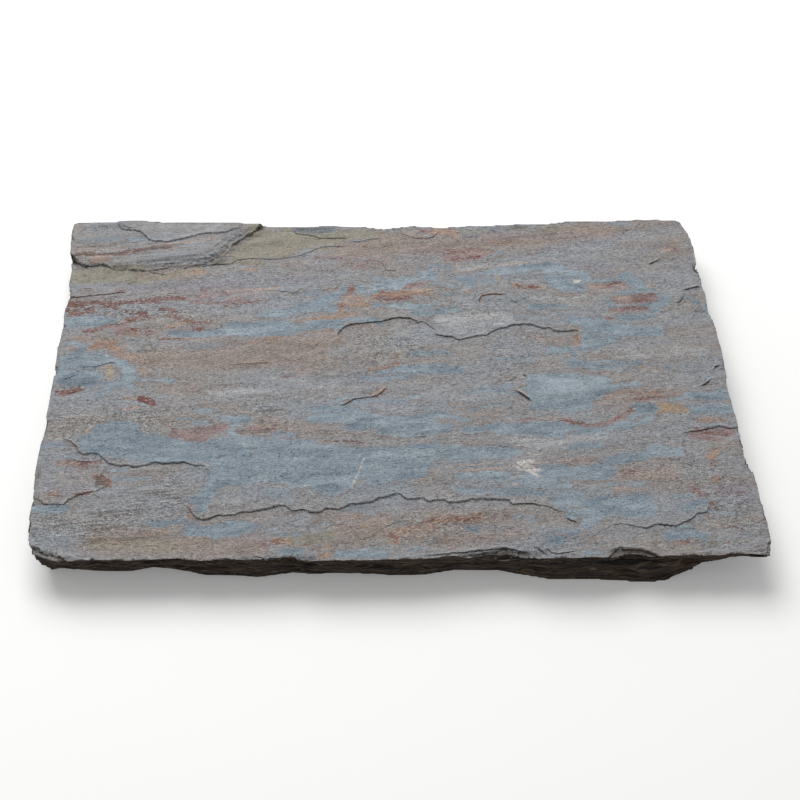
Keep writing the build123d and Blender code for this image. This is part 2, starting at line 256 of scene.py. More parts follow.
# thin plates step down at the flake's rim: how tall they are together and how wide from end to end, mm,
# and the share of a plate over which it rises
flakePlates = {"tall": 4.5, "wide": (0.8, 1.2, 3.5, 5.5, 7.5, 9.5, 9.0, 5.0, 0.8), "rise": (0.55, 1)}
ledges = [
    flakeRim,
    (0.7, (0.75,), (1,), -232, 131, -228, 130.5, -220, 128.5, -215, 127, -209, 126.5),
    (0, (0.3, 0.6, 0.8, 0.9, 0.7, 0.8, 0.5, 0.3), (1.2,), -266, 196.2, -262, 189.2, -257, 186.2, -250, 184.7,
     -242, 182.2, -236, 176.2, -233, 172.7, -227, 170.2, -213, 170.2, -205, 172.7, -198, 174.2, -190, 176.7,
     -182, 179.2, -170, 180.7, -160, 181.7, -150, 187.2),
    (0.6, (0.7,), (1,), -262, 194, -258, 191, -253, 188, -247, 188),
    (0.8, (0.6,), (1,), -172, 141, -152, 143, -145, 149, -130, 151, -115, 149, -105, 149.5, -95, 151.5, -85, 154,
     -75, 160, -65, 166, -40, 168),
    (0.7, (0.55,), (1,), -40, 172, -30, 174, -15, 177, -5, 178),
    (0.9, (0.7,), (1,), -94, 193, -91, 185, -78, 183.5, -68, 178.5, -52, 179, -38, 179.5),
    (0.8, (0.75,), (1,), 10, 191, 12, 186, 20, 181, 27, 178, 38, 179, 43, 181, 50, 190),
    (0.4, (0.5,), (1,), 26, 172, 32, 173.5, 38, 174),
    (1.0, (0.85,), (3.2, 1.5, 1.2, 1.0), -299, 96, -290, 97, -275, 99, -262, 101, -252, 103.5, -245, 105),
    (0.5, (0.55,), (1,), -250, 112, -247, 115, -241, 117, -238, 120),
    (0.6, (0.9,), (1,), -300, 57, -297, 55, -294, 53),
    (0, (0.9, 0.8, 0.7, 0.75, 0.9, 0.95, 0.9, 0.7, 0.2, 0.1), (1.6, 1.5, 1.3, 1.2, 1.5, 1.3, 0.9), -47, 46.2,
     -45, 53.2, -42, 57.2, -35, 61.2, -25, 63.2, -5, 66.2, 3, 69.2, 10, 71.2, 20, 69.2, 27, 65.2, 34, 64.2, 36, 61.2,
     40, 56.2, 45, 53.2),
    (0, (0.9, 0.8, 0.9, 0.6, 0.8, 0.95, 0.7, 0.5, 0.3), (1.6, 1.8, 1.2, 1.4, 1.6, 1.0), 41, 48.7, 50, 47.2, 60, 45.2,
     64, 42.2, 70, 43.2, 80, 47.2, 90, 48.7, 100, 55.2, 115, 61.2, 122, 62.2, 130, 62.2, 140, 58.2, 148, 57.2,
     155, 53.2, 172, 54.2, 178, 51.2, 185, 51.2),
    (0.5, (0.5,), (1,), 177, 48, 173, 44, 175, 37, 168, 35),
    (1.1, (1.3, 1.2, 0.9), (1.5, 1.3), -45, -39, -38, -38, -33, -34, -30, -31.5, -20, -29.5, -10, -27, -5, -22,
     -2, -18, -3, -15),
    (1.9, (1.5,), (2.0, 1.8, 1.4), 113, -20, 115, -23, 118.5, -26, 122, -29, 125, -32, 127.5, -36),
    (1.7, (1.3,), (1.6,), 276, -17, 282.7, -13.4, 289.6, -6.7),
    (1.5, (1.3,), (1.6,), 290.4, 2.4, 294.4, 7.3, 301.5, 9.8),
    (1.6, (0.9, 1.0), (1.2, 2.0), 275, 104, 282, 108, 288, 109.5, 296, 110.5),
    (1.2, (0.95,), (1.6, 1.4), 266, 88.5, 273, 91, 277, 98),
    (0.3, (0.35,), (1,), 268, 87, 270, 80.5, 274, 74, 282, 65),
    (1.5, (1.0,), (1.8,), 247, 140.5, 254, 145, 261, 150.5), (0.4, (0.5,), (1,), 266, 146, 272, 150.5, 281, 153),
    (0.5, (0.5, 0.6, 0.4), (1,), 56, 189, 69, 186, 76, 181, 82, 181, 90, 184),
    (0.5, (0.5, 0.6, 0.9, 0.9), (1,), -17, 148, -8, 145, -3.5, 138, -3, 134, 3, 133.5, 10, 133.5),
    (0, (0.85,), (1.0, 1.4, 1.8), 255, -71, 270, -67, 280, -64, 290, -62, 297, -64, 304, -64),
    (0, (0.9, 0.9, 0.6, 0.7, 0.9, 0.8, 0.55, 0.8, 0.9, 0.5, 0.7), (1.3, 1.2, 1.5, 1.2, 1.4, 1.6, 1.0), -281, -78.8,
     -275, -79.8, -271, -82.8, -267, -86.8, -265, -91.8, -262, -93.8, -250, -93.8, -246, -95.8, -242, -99.8,
     -239, -103.8, -232, -105.8, -213, -107.8, -205, -105.3, -197, -103.8, -190, -104.8, -182, -103.3, -173, -103.8,
     -165, -106.8, -157, -107.8, -153, -110.8, -150, -115.8),
    (0, (0.3, 0.0, 0.0, 0.1, 0.6), (1,), -150, -115.8, -153, -122.8, -158, -128.8, -162, -135.8, -165, -143.8,
     -165.5, -150.8),
    (0, (0.6, 1.0, 0.9, 0.7, 0.8, 0.6, 0.7, 0.9, 0.6, 0.8, 1.0, 0.7, 0.9, 0.8, 0.6, 0.9, 1.0, 0.9, 0.6),
     (1.2, 1.6, 1.3, 1.2, 1.5, 1.6, 1.3, 1.4, 1.2, 1.5, 1.3, 1.6, 1.2), -165.5, -150.8, -163, -156.8, -158, -161.8,
     -152, -164.3, -147, -163.3, -140, -159.8, -130, -160.3, -120, -156.8, -110, -154.8, -100, -152.8, -90, -149.3,
     -85, -150.8, -80, -155.8, -70, -154.8, -60, -156.8, -50, -153.8, -40, -153.3, -30, -149.3, -20, -147.3,
     -13, -145.8, -8, -141.8, 0, -140.3, 8, -136.8, 11, -138.8, 14, -141.8, 18, -143.8, 30, -141.8, 34, -145.8,
     40, -144.3, 48, -144.3, 51, -146.8, 60, -146.8, 68, -144.3, 95, -143.3, 101, -144.8, 104, -149.3, 120, -148.8,
     130, -150.8, 137, -153.8, 142, -156.8, 149, -156.8),
    (1.4, (0.95,), (1.7,), 146, -161, 150, -165, 154, -167, 158, -170),
    (0, (0.1, 0.3, 0.4, 0.3, 0.6, 0.9, 1.0, 0.9, 0.8, 1.0, 0.3), (0.8, 1.0, 1.2, 1.4, 1.8, 1.4, 1.8, 1.2),
     160, -187.2, 165, -186.2, 172, -179.2, 180, -174.2, 187, -170.2, 198, -170.2, 205, -172.7, 212, -173.7,
     220, -170.7, 230, -170.7, 237, -172.2, 243, -168.2, 250, -165.2, 254, -162.2, 257, -158.2, 265, -157.7,
     268, -148.2),
    (0, (1.0, 0.9, 0.6, 0.95, 0.7, 0.9, 0.5), (1.8, 1.4, 1.2, 1.4, 1.2, 1.0), -295, -143, -289, -146, -285, -149.5,
     -270, -149, -266, -145, -260, -140, -253, -137, -245, -135.5, -239, -130),
    (0.6, (0.5,), (1,), -275, -100, -268, -101, -258, -102, -248, -102),
    (0.8, (1.0, 0.9), (1.6, 1.2), 120, -192.5, 124.5, -195.6, 130, -200.5),
    (0.7, (0.8, 1.0, 0.8, 0.5), (1.4, 1.4, 1.0), 125, -194, 131, -195, 134, -199, 142, -199.6, 150, -198.3,
     157, -196),
    (0.4, (0.4, 0.5, 0.6, 0.6, 0.5), (1,), -56, -175, -49, -171, -38.5, -168.7, -30, -172.3, -26, -180, -20.7, -185,
     -11.6, -181.2, -1.4, -171, 11, -166.6, 23, -165.6),
    (0.3, (0.35,), (1,), 30.5, -166.6, 38.8, -165, 46, -159.3, 50.4, -149.4),
    (0.3, (0.35,), (1,), -2.6, -146.2, 2.6, -151, 11, -160.6),
    (0.7, (0.75,), (1,), -110, 107, -95, 104, -90, 102, -84, 107, -78, 108),
    (1.0, (0.95, 0.9), (1.5,), 84, 88, 85, 95, 88, 99, 98, 101.5, 112, 101.5),
    (0.6, (0.7,), (1.2,), 113, 98, 115, 93, 123, 88.7), (0.8, (0.7,), (1,), -280, 7, -262, 8, -251, 13, -243, 12),
    (0.8, (0.7,), (1,), -293, -9, -285, -6, -280, -1), (0.3, (0.5,), (1,), -257, 3, -254, -3, -252, -5),
    (0.3, (0.5,), (1,), -41, 19, -38, 22, -33, 23), (0.3, (0.35,), (1,), 150, 16, 148, 8, 150, 4),
    (0.3, (0.35,), (1,), 236, -148, 238, -141, 246, -139), (0.35, (0.35,), (1,), -190, -128, -178, -130, -168, -130),
    (0.3, (0.4,), (1,), -280, -90, -272, -90, -265, -95), (0.4, (0.4,), (1,), -140, -165, -134, -169, -128, -171),
    (0.4, (0.35,), (1,), -90, -166, -76, -170, -60, -171),
    (0.3, (0.35,), (1,), 67, -184, 82.4, -182.5, 91, -176, 103, -172.8, 115, -167),
    (0.25, (0.3,), (1,), 60, -129, 72, -128, 84, -124),
    (1.2, (0.8, 1.0), (1.6,), -292, -191, -284, -194.3, -279.6, -198, -274, -202),
    (1.6, (0.8, 1.0, 1.0, 0.9), (1.5, 2.0, 1.6), -278, -200.5, -272.6, -199.3, -265.4, -202.3, -258, -207,
     -252, -208.6),
    (1.0, (0.7, 1.0, 0.8), (1.4,), -275, -203.5, -269, -205.6, -264.6, -207.6, -259, -210.2),
    (1.2, (0.6, 1.0, 0.8, 1.0, 0.8), (1.2, 1.6, 1.2), 178, -200.1, 182, -196.8, 188.3, -194, 200.4, -194.3,
     211, -195.6, 217.6, -198.5, 222.5, -202.3),
    (0.9, (0.8, 1.0, 1.0, 0.7), (1.8,), 187.6, -200.8, 194.5, -199, 205.3, -199.3, 214, -201.8),
    (1.2, (1.0,), (1,), 305, -200, 308, -199, 309.5, -194, 311, -190),
    (1.0, (0.7, 1.0, 1.0, 0.8), (1.4, 1.8, 1.4), -93, -205.2, -85, -203, -75, -202.4, -68, -204.5),
    (0.8, (0.7, 1.0, 0.7), (1.4,), -178, -204.8, -167, -203.3, -158, -205),
    (0.8, (0.6, 1.0, 0.9), (1.4,), -144, -205.4, -137, -204, -131, -203.7, -124, -205.2),
    (0.9, (1.0,), (1.4,), -111.5, -205.8, -107.7, -202.8, -102.3, -203, -97, -205.6),
    (0.6, (0.8,), (1,), 8, -204.2, 16, -203.6, 23, -203.9),
    (1.0, (0.7, 0.8, 0.9, 1.0, 1.0, 1.0, 1.0, 0.9), (1.2, 1.4, 1.8, 2.2, 2.4, 2.6, 2.4, 1.2), 28, -202.3, 42, -200,
     55, -198.2, 69, -196.8, 80, -195.1, 92, -193.4, 101.5, -194.6, 109.5, -196.9, 117, -198.8),
    (0.8, (0.8, 1.0, 0.8), (1.6,), 71.5, -204.6, 82.3, -203.2, 93, -202.4, 101, -204),
    (0.5, (0.6, 0.8), (1,), 278, -201, 281, -198.5, 286, -199.5),
    (0.5, (0.4, 0.7, 0.4), (1,), -145, 9, -130, 10.5, -105, 12),
    (0.4, (0.5, 0.6, 0.3), (1,), -60, 130, -52, 135, -45, 138),
    (0.4, (0.6, 0.6, 0.3), (1,), -30, 120, -22, 117, -12, 112, 0, 110),
    (0.4, (0.5,), (1,), -58, 118, -50, 120, -42, 119), (0.5, (0.3, 0.7, 0.5), (1,), 36, 60, 50, 62, 60, 66),
    (0.5, (0.5, 0.7, 0.5), (1,), -305, 141, -300, 134, -297, 131),
    (0.5, (0.5, 0.4), (1,), -170, 142, -182, 137, -195, 136),
    (0.6, (0.5, 0.7, 0.6, 0.3), (1,), -190, 140, -178, 138, -162, 143, -152, 143),
    (0.4, (0.4, 0.6), (1,), 246, 181, 252, 184, 258, 186),
    (0.3, (0.5, 0.4), (1,), -180, -130, -172, -129, -168, -130),
]

# Steps of the solid that are worn away to a slope: how far to each side, mm, and the line
worn = [
    (7, -330, -83, -290, -80, -281, -79), (7, -330, -128, -270, -112, -246, -118), (9, -262, -97, -262, -112),
    (10, -46, 40, -36, 14, -20, -12), (8, 165, 26, 150, -12), (6, 158, -172, 172, -196, 174, -215),
    (6, 150, -215, 150, -192, 162, -188), (5, -150, -115.8, -154, -123, -159, -131.8, -163, -140),
]


def nearestOnLine(points, line):
    # distance to the line, side (left is positive), share of the way along it, distance to its end, foot
    line = np.array(line, float)
    steps = np.diff(line, axis=0)
    lengths = np.hypot(steps[:, 0], steps[:, 1])
    starts = np.concatenate([[0], np.cumsum(lengths)])
    best = np.full(len(points), 1e9)
    side = np.ones(len(points))
    along = np.zeros(len(points))
    foot = np.zeros((len(points), 2))
    for i, step in enumerate(steps):
        away = points[:, :2] - line[i]
        t = np.clip(away @ step / lengths[i] ** 2, 0, 1)
        near = line[i] + t[:, None] * step
        distance = np.hypot(points[:, 0] - near[:, 0], points[:, 1] - near[:, 1])
        closer = distance < best
        best[closer] = distance[closer]
        side[closer] = np.sign(step[0] * away[:, 1] - step[1] * away[:, 0])[closer]
        along[closer] = (starts[i] + t * lengths[i])[closer]
        foot[closer] = near[closer]
    fromEnd = np.minimum(along, starts[-1] - along)
    return best, np.where(side == 0, 1, side), along / starts[-1], fromEnd, foot


def nearBox(points, line, reach, allowed=True):
    # which of the allowed points lie in the line's own box, made larger by its reach
    line = np.array(line, float)
    least, most = line.min(0) - reach, line.max(0) + reach
    x, y = points[:, 0], points[:, 1]
    return np.nonzero((x > least[0]) & (x < most[0]) & (y > least[1]) & (y < most[1]) & allowed)[0]


def jagged(points):
    # shifts plan points a little, so that a line drawn through them is as ragged as torn slate
    shifted = points[:, :2].copy()
    for axis, name in enumerate(("raggedX", "raggedY")):
        shifted[:, axis] += noiseAt(points, name)
    return shifted


def nearLines(points):
    # the vertices of the face that lie near a ledge line or a sharp stroke
    found = np.zeros(len(points), bool)
    faceHigh = points[:, 2] > slab["face"] - relief["lowest"]
    strokes = [row[2:] for name in sharp for row in stainsAndShade[name]]
    for numbers in [row[3:] for row in ledges] + strokes:
        line = pointsOf(numbers)
        chosen = nearBox(points, line, relief["kept"], faceHigh)
        distance = nearestOnLine(points[chosen], line)[0]
        found[chosen[distance < relief["kept"]]] = True
    return found


def heightReader(points, upward):
    # gives a function that reads the height of the face at a place on the plan
    topOnes = np.nonzero(upward > relief["topUp"])[0]
    tree = kdtree.KDTree(len(topOnes))
    for i in topOnes.tolist():
        tree.insert((points[i, 0], points[i, 1], 0), i)
    tree.balance()
    heights = points[:, 2].copy()
    return lambda x, y: heights[tree.find((x, y, 0))[1]]


def rimDrop(points, distance, side, share):
    # thin plates step down to the foot of the flake's rim
    tall = flakePlates["tall"]
    width = spread(flakePlates["wide"], share)
    t = np.clip(distance / width + noiseAt(points, "rim"), 0, 1)
    plates = tall / relief["plate"]
    stair = stepped(t * plates, *flakePlates["rise"]) / plates
    return tall * np.maximum(0, 1 - stair) * (side > 0) * (distance < width * 1.4)


def workLedges(points, upward):
    # draws the mesh in to each ledge line, so that its edge is sharp, and steps it
    heightAt = heightReader(points, upward)
    moved = points.copy()
    shifted = jagged(points)
    nearest = np.full(len(points), 1e9)
    bevelDrop = np.zeros(len(points))
    pull, probeReach = relief["pull"], relief["probe"]
    faceHigh = points[:, 2] > slab["face"] - relief["lowest"]
    for row in ledges:
        height, line = row[0], pointsOf(row[3:])
        chosen = nearBox(points, line, relief["reach"], faceHigh)
        distance, side, share, fromEnd, foot = nearestOnLine(shifted[chosen], line)
        taper = smoothStep(0, relief["ends"], fromEnd)
        moved[chosen, 2] += side * 0.5 * height * np.exp(-distance / relief["fade"]) * taper
        close = (distance < pull) & (distance < nearest[chosen]) & (taper > 0.02)
        ids, d, w, at, hand = chosen[close], distance[close], taper[close], foot[close], side[close]
        nearest[ids] = d
        outward = (shifted[ids] - at) / np.maximum(d, 1e-6)[:, None]
        drawn = d * (1 - w + w * (d / pull) ** 0.7)
        moved[ids, :2] = points[ids, :2] + outward * (drawn - d)[:, None]
        if row is flakeRim:
            bevelDrop[chosen] = np.maximum(bevelDrop[chosen], rimDrop(points[chosen], distance, side, share))
        if not height:
            # the step is in the solid: each side takes the height it has a little further off
            probe = at + outward * probeReach
            far, farSide = nearestOnLine(probe, line)[:2]
            sound = (far > probeReach * 0.8) & (farSide == hand) & (d < probeReach)
            for i, (x, y) in zip(ids[sound].tolist(), probe[sound].tolist()):
                found = heightAt(x, y)
                if abs(found - points[i, 2]) < relief["tallest"]:
                    moved[i, 2] = found
    floorLevel = np.minimum(moved[:, 2], slab["face"])
    moved[:, 2] = np.maximum(moved[:, 2] - bevelDrop, floorLevel)
    wearSteps(moved, points, (upward > relief["topUp"]) & (nearest > relief["clear"]), heightAt)
    return moved


def wearSteps(moved, points, free, heightAt):
    # each side of a worn step slopes towards the height of the other
    for reach, *numbers in worn:
        line = pointsOf(numbers)
        chosen = nearBox(points, line, reach, free)
        distance, _, _, fromEnd, foot = nearestOnLine(points[chosen], line)
        close = (distance < reach) & (fromEnd > 0)
        ids, d, at = chosen[close], distance[close], foot[close]
        away = (points[ids, :2] - at) / np.maximum(d, 1e-6)[:, None]
        own = [heightAt(x, y) for x, y in (at + away * reach).tolist()]
        other = [heightAt(x, y) for x, y in (at - away * reach).tolist()]
        share = 0.5 + 0.5 * smoothStep(0, reach, d)
        moved[ids, 2] += np.array(own) * share + np.array(other) * (1 - share) - points[ids, 2]


# Chips along the top arris: x1, y1, x2, y2, how far in they reach, how deep they go, mm

chips = [
    (-303, -186, -292, -204, 9, 5), (-292, -204, -262, -211, 11, 8), (-262, -211, -246, -210, 5, 4),
    (-182, -207, -158, -207, 3.0, 1.2), (-150, -207, -128, -206, 3.2, 1.4), (-117, -206, -97, -206, 4, 2.6),
    (-94, -205, -60, -204, 4, 2.6), (4, -207, 24, -206, 3, 1.0), (40, -205, 70, -201, 4, 2.2),
    (66, -201, 94, -197, 5, 2.6), (94, -197, 122, -202, 6, 3), (186, -197, 212, -199, 4, 2.6),
    (278, -201, 289, -201, 3, 3), (312, -199, 313, -190, 3.5, 4), (240, -200, 262, -200, 2.5, 1.6),
    (-300, 58, -302, 50, 3, 3), (-302, 100, -300, 94, 3.5, 3.5), (-305, 148, -300, 144, 4, 5),
    (-308, 176, -306, 170, 3, 3), (-299, 6, -299, -2, 2.5, 3), (-297, -58, -297, -66, 2.5, 3),
    (-295, -110, -295, -120, 2.5, 2), (293, 140, 293, 134, 3, 4), (296, 129, 296, 125, 2.5, 4),
    (297, 114, 297, 108, 3, 3), (298, 86, 298, 80, 3, 3), (305, -76, 304, -88, 2.5, 3),
    (312, -160, 312, -166, 2.5, 3), (303, 12, 303, 6, 2.5, 3), (305, -104, 308, -116, 2.5, 2),
    (-217, 204, -180, 202, 2, 1.5), (-60, 198, -40, 195, 2, 1.5), (110, 200, 150, 200, 2, 1.5),
    (200, 204, 240, 206, 2, 1.5),
]
# above: chips start no lower than this below the face, mm; deepest: they end no lower; rise: as in flakePlates
chipped = {"above": 3, "deepest": 13, "rise": (0.72, 1)}


def workChips(points, upward):
    # lowers the face towards the arris in thin plates, one below the other
    wobble = noiseAt(points, "plates")
    for x1, y1, x2, y2, reach, depth in chips:
        line = [(x1, y1), (x2, y2)]
        atArris = (points[:, 2] > slab["face"] - chipped["above"]) & (upward > -0.3)
        chosen = nearBox(points, line, reach + 3, atArris)
        distance = nearestOnLine(points[chosen], line)[0]
        t = np.clip(1 - distance / reach + wobble[chosen], 0, 1)
        plates = max(1.0, depth / relief["plate"])
        drop = depth * stepped(t * plates, *chipped["rise"]) / plates
        floorLevel = np.minimum(points[chosen, 2], slab["face"] - chipped["deepest"])
        points[chosen, 2] = np.maximum(points[chosen, 2] - drop, floorLevel)
    return points


# Hollows of the front edge, where softer strata fell out: x, height, half length, half height, depth, mm

hollows = [
    (-66, 25, 17, 3.0, 7), (-238, 25, 9, 5.0, 3), (200, 25.5, 34, 3.2, 6), (196, 13.5, 14, 2.6, 5),
    (121, 17, 16, 3.4, 5), (60, 20, 22, 2.2, 4), (-150, 18, 20, 2.4, 4), (-8, 22, 18, 2.0, 3.5),
    (250, 22, 12, 2.0, 4),
]


def frontHollows(points):
    depth = np.zeros(len(points))
    for x, height, halfLength, halfHeight, deepest in hollows:
        away = np.hypot((points[:, 0] - x) / halfLength, (points[:, 2] - height) / halfHeight)
        depth = np.maximum(depth, deepest * smoothStep(1.15, 0.5, away))
    return depth


def faceLift(points):
    # cleft face: broad swell, fine laminae that end in wavy contours, and ridges along the grain
    turn = math.radians(relief["grainTurn"])
    along = points[:, 0] * math.cos(turn) + points[:, 1] * math.sin(turn)
    across = points[:, 1] * math.cos(turn) - points[:, 0] * math.sin(turn)
    grained = np.stack([along, across, points[:, 2]], axis=1)
    flake = onFlake(points)
    fewest, more = relief["laminae"]
    laminae = stepped(noiseAt(grained, "laminae") * (fewest + more * flake), *relief["laminaRise"])
    lift = relief["swell"] * (noiseAt(grained, "swell") - 0.4) + relief["lamina"] * (laminae - 2.0)
    lift += relief["grain"] * noiseAt(grained, "ridges")
    return lift * (1 - flake) + flake * np.minimum(lift - relief["flakeSunk"], 0)


def edgeDepth(points, side):
    # broken edges: strata that stand back by different amounts, with hollows and crumbs
    layer = np.floor((points[:, 2] + noiseAt(points, "strataWave")) / relief["stratum"])
    strata = noiseAt(np.stack([points[:, 0], points[:, 1], layer * 3.71], axis=1), "strata")
    hollow = smoothStep(0.25, 0.7, noiseAt(points, "hollows"))
    depth = relief["strataDepth"] * smoothStep(-0.6, 0.7, strata) + relief["hollowDepth"] * hollow
    depth += relief["crumbDepth"] * (noiseAt(points, "crumbs") + 0.5)
    belowArris = smoothStep(*relief["strataStart"], slab["face"] - points[:, 2])
    return side * np.maximum(depth, 0) * (0.04 + 0.96 * belowArris)


def workRelief(piece):
    mesh = piece.data
    points = planPoints(mesh)
    normals = vertexNormals(mesh)
    upward = normals[:, 2]
    print("remeshed", len(points), "vertices")
    points = workLedges(points, upward)
    side = 1 - smoothStep(*relief["edgeUp"], np.abs(upward))
    side *= points[:, 2] < slab["face"] - 0.2
    lift = smoothStep(*relief["faceUp"], upward) * faceLift(points)
    points = workChips(points, upward)
    points[:, 2] += lift
    # underside: only a slow swell, upwards
    points[:, 2] += smoothStep(*relief["underDown"], -upward) * np.abs(noiseAt(points, "underside"))
    flat = np.hypot(normals[:, 0], normals[:, 1])
    outward = normals[:, :2] / np.maximum(flat, 1e-6)[:, None]
    depth = edgeDepth(points, side)
    depth += frontHollows(points) * smoothStep(*relief["frontOut"], -normals[:, 1])
    nearArris = 1 - smoothStep(*relief["rounded"], slab["face"] - points[:, 2])
    depth -= relief["arris"] * smoothStep(*relief["arrisOut"], flat) * nearArris
    points[:, :2] -= outward * depth[:, None]
    putPoints(mesh, points)
    keepInBox(mesh)


def decimated(piece, triangles, kept):
    # thins the mesh to this many triangles, and leaves the kept vertices alone
    mesh = piece.data
    mesh.calc_loop_triangles()
    before = len(mesh.loop_triangles)
    free = piece.vertex_groups.new(name="free")
    free.add(np.nonzero(~kept)[0].tolist(), 1.0, "REPLACE")
    thin = piece.modifiers.new("thin", "DECIMATE")
    thin.ratio = min(1.0, triangles / before)
    thin.use_collapse_triangulate = True
    thin.vertex_group = "free"
    applyModifiers(piece)
    piece.vertex_groups.clear()
    piece.data.calc_loop_triangles()
    print("triangles", before, "to", len(piece.data.loop_triangles))
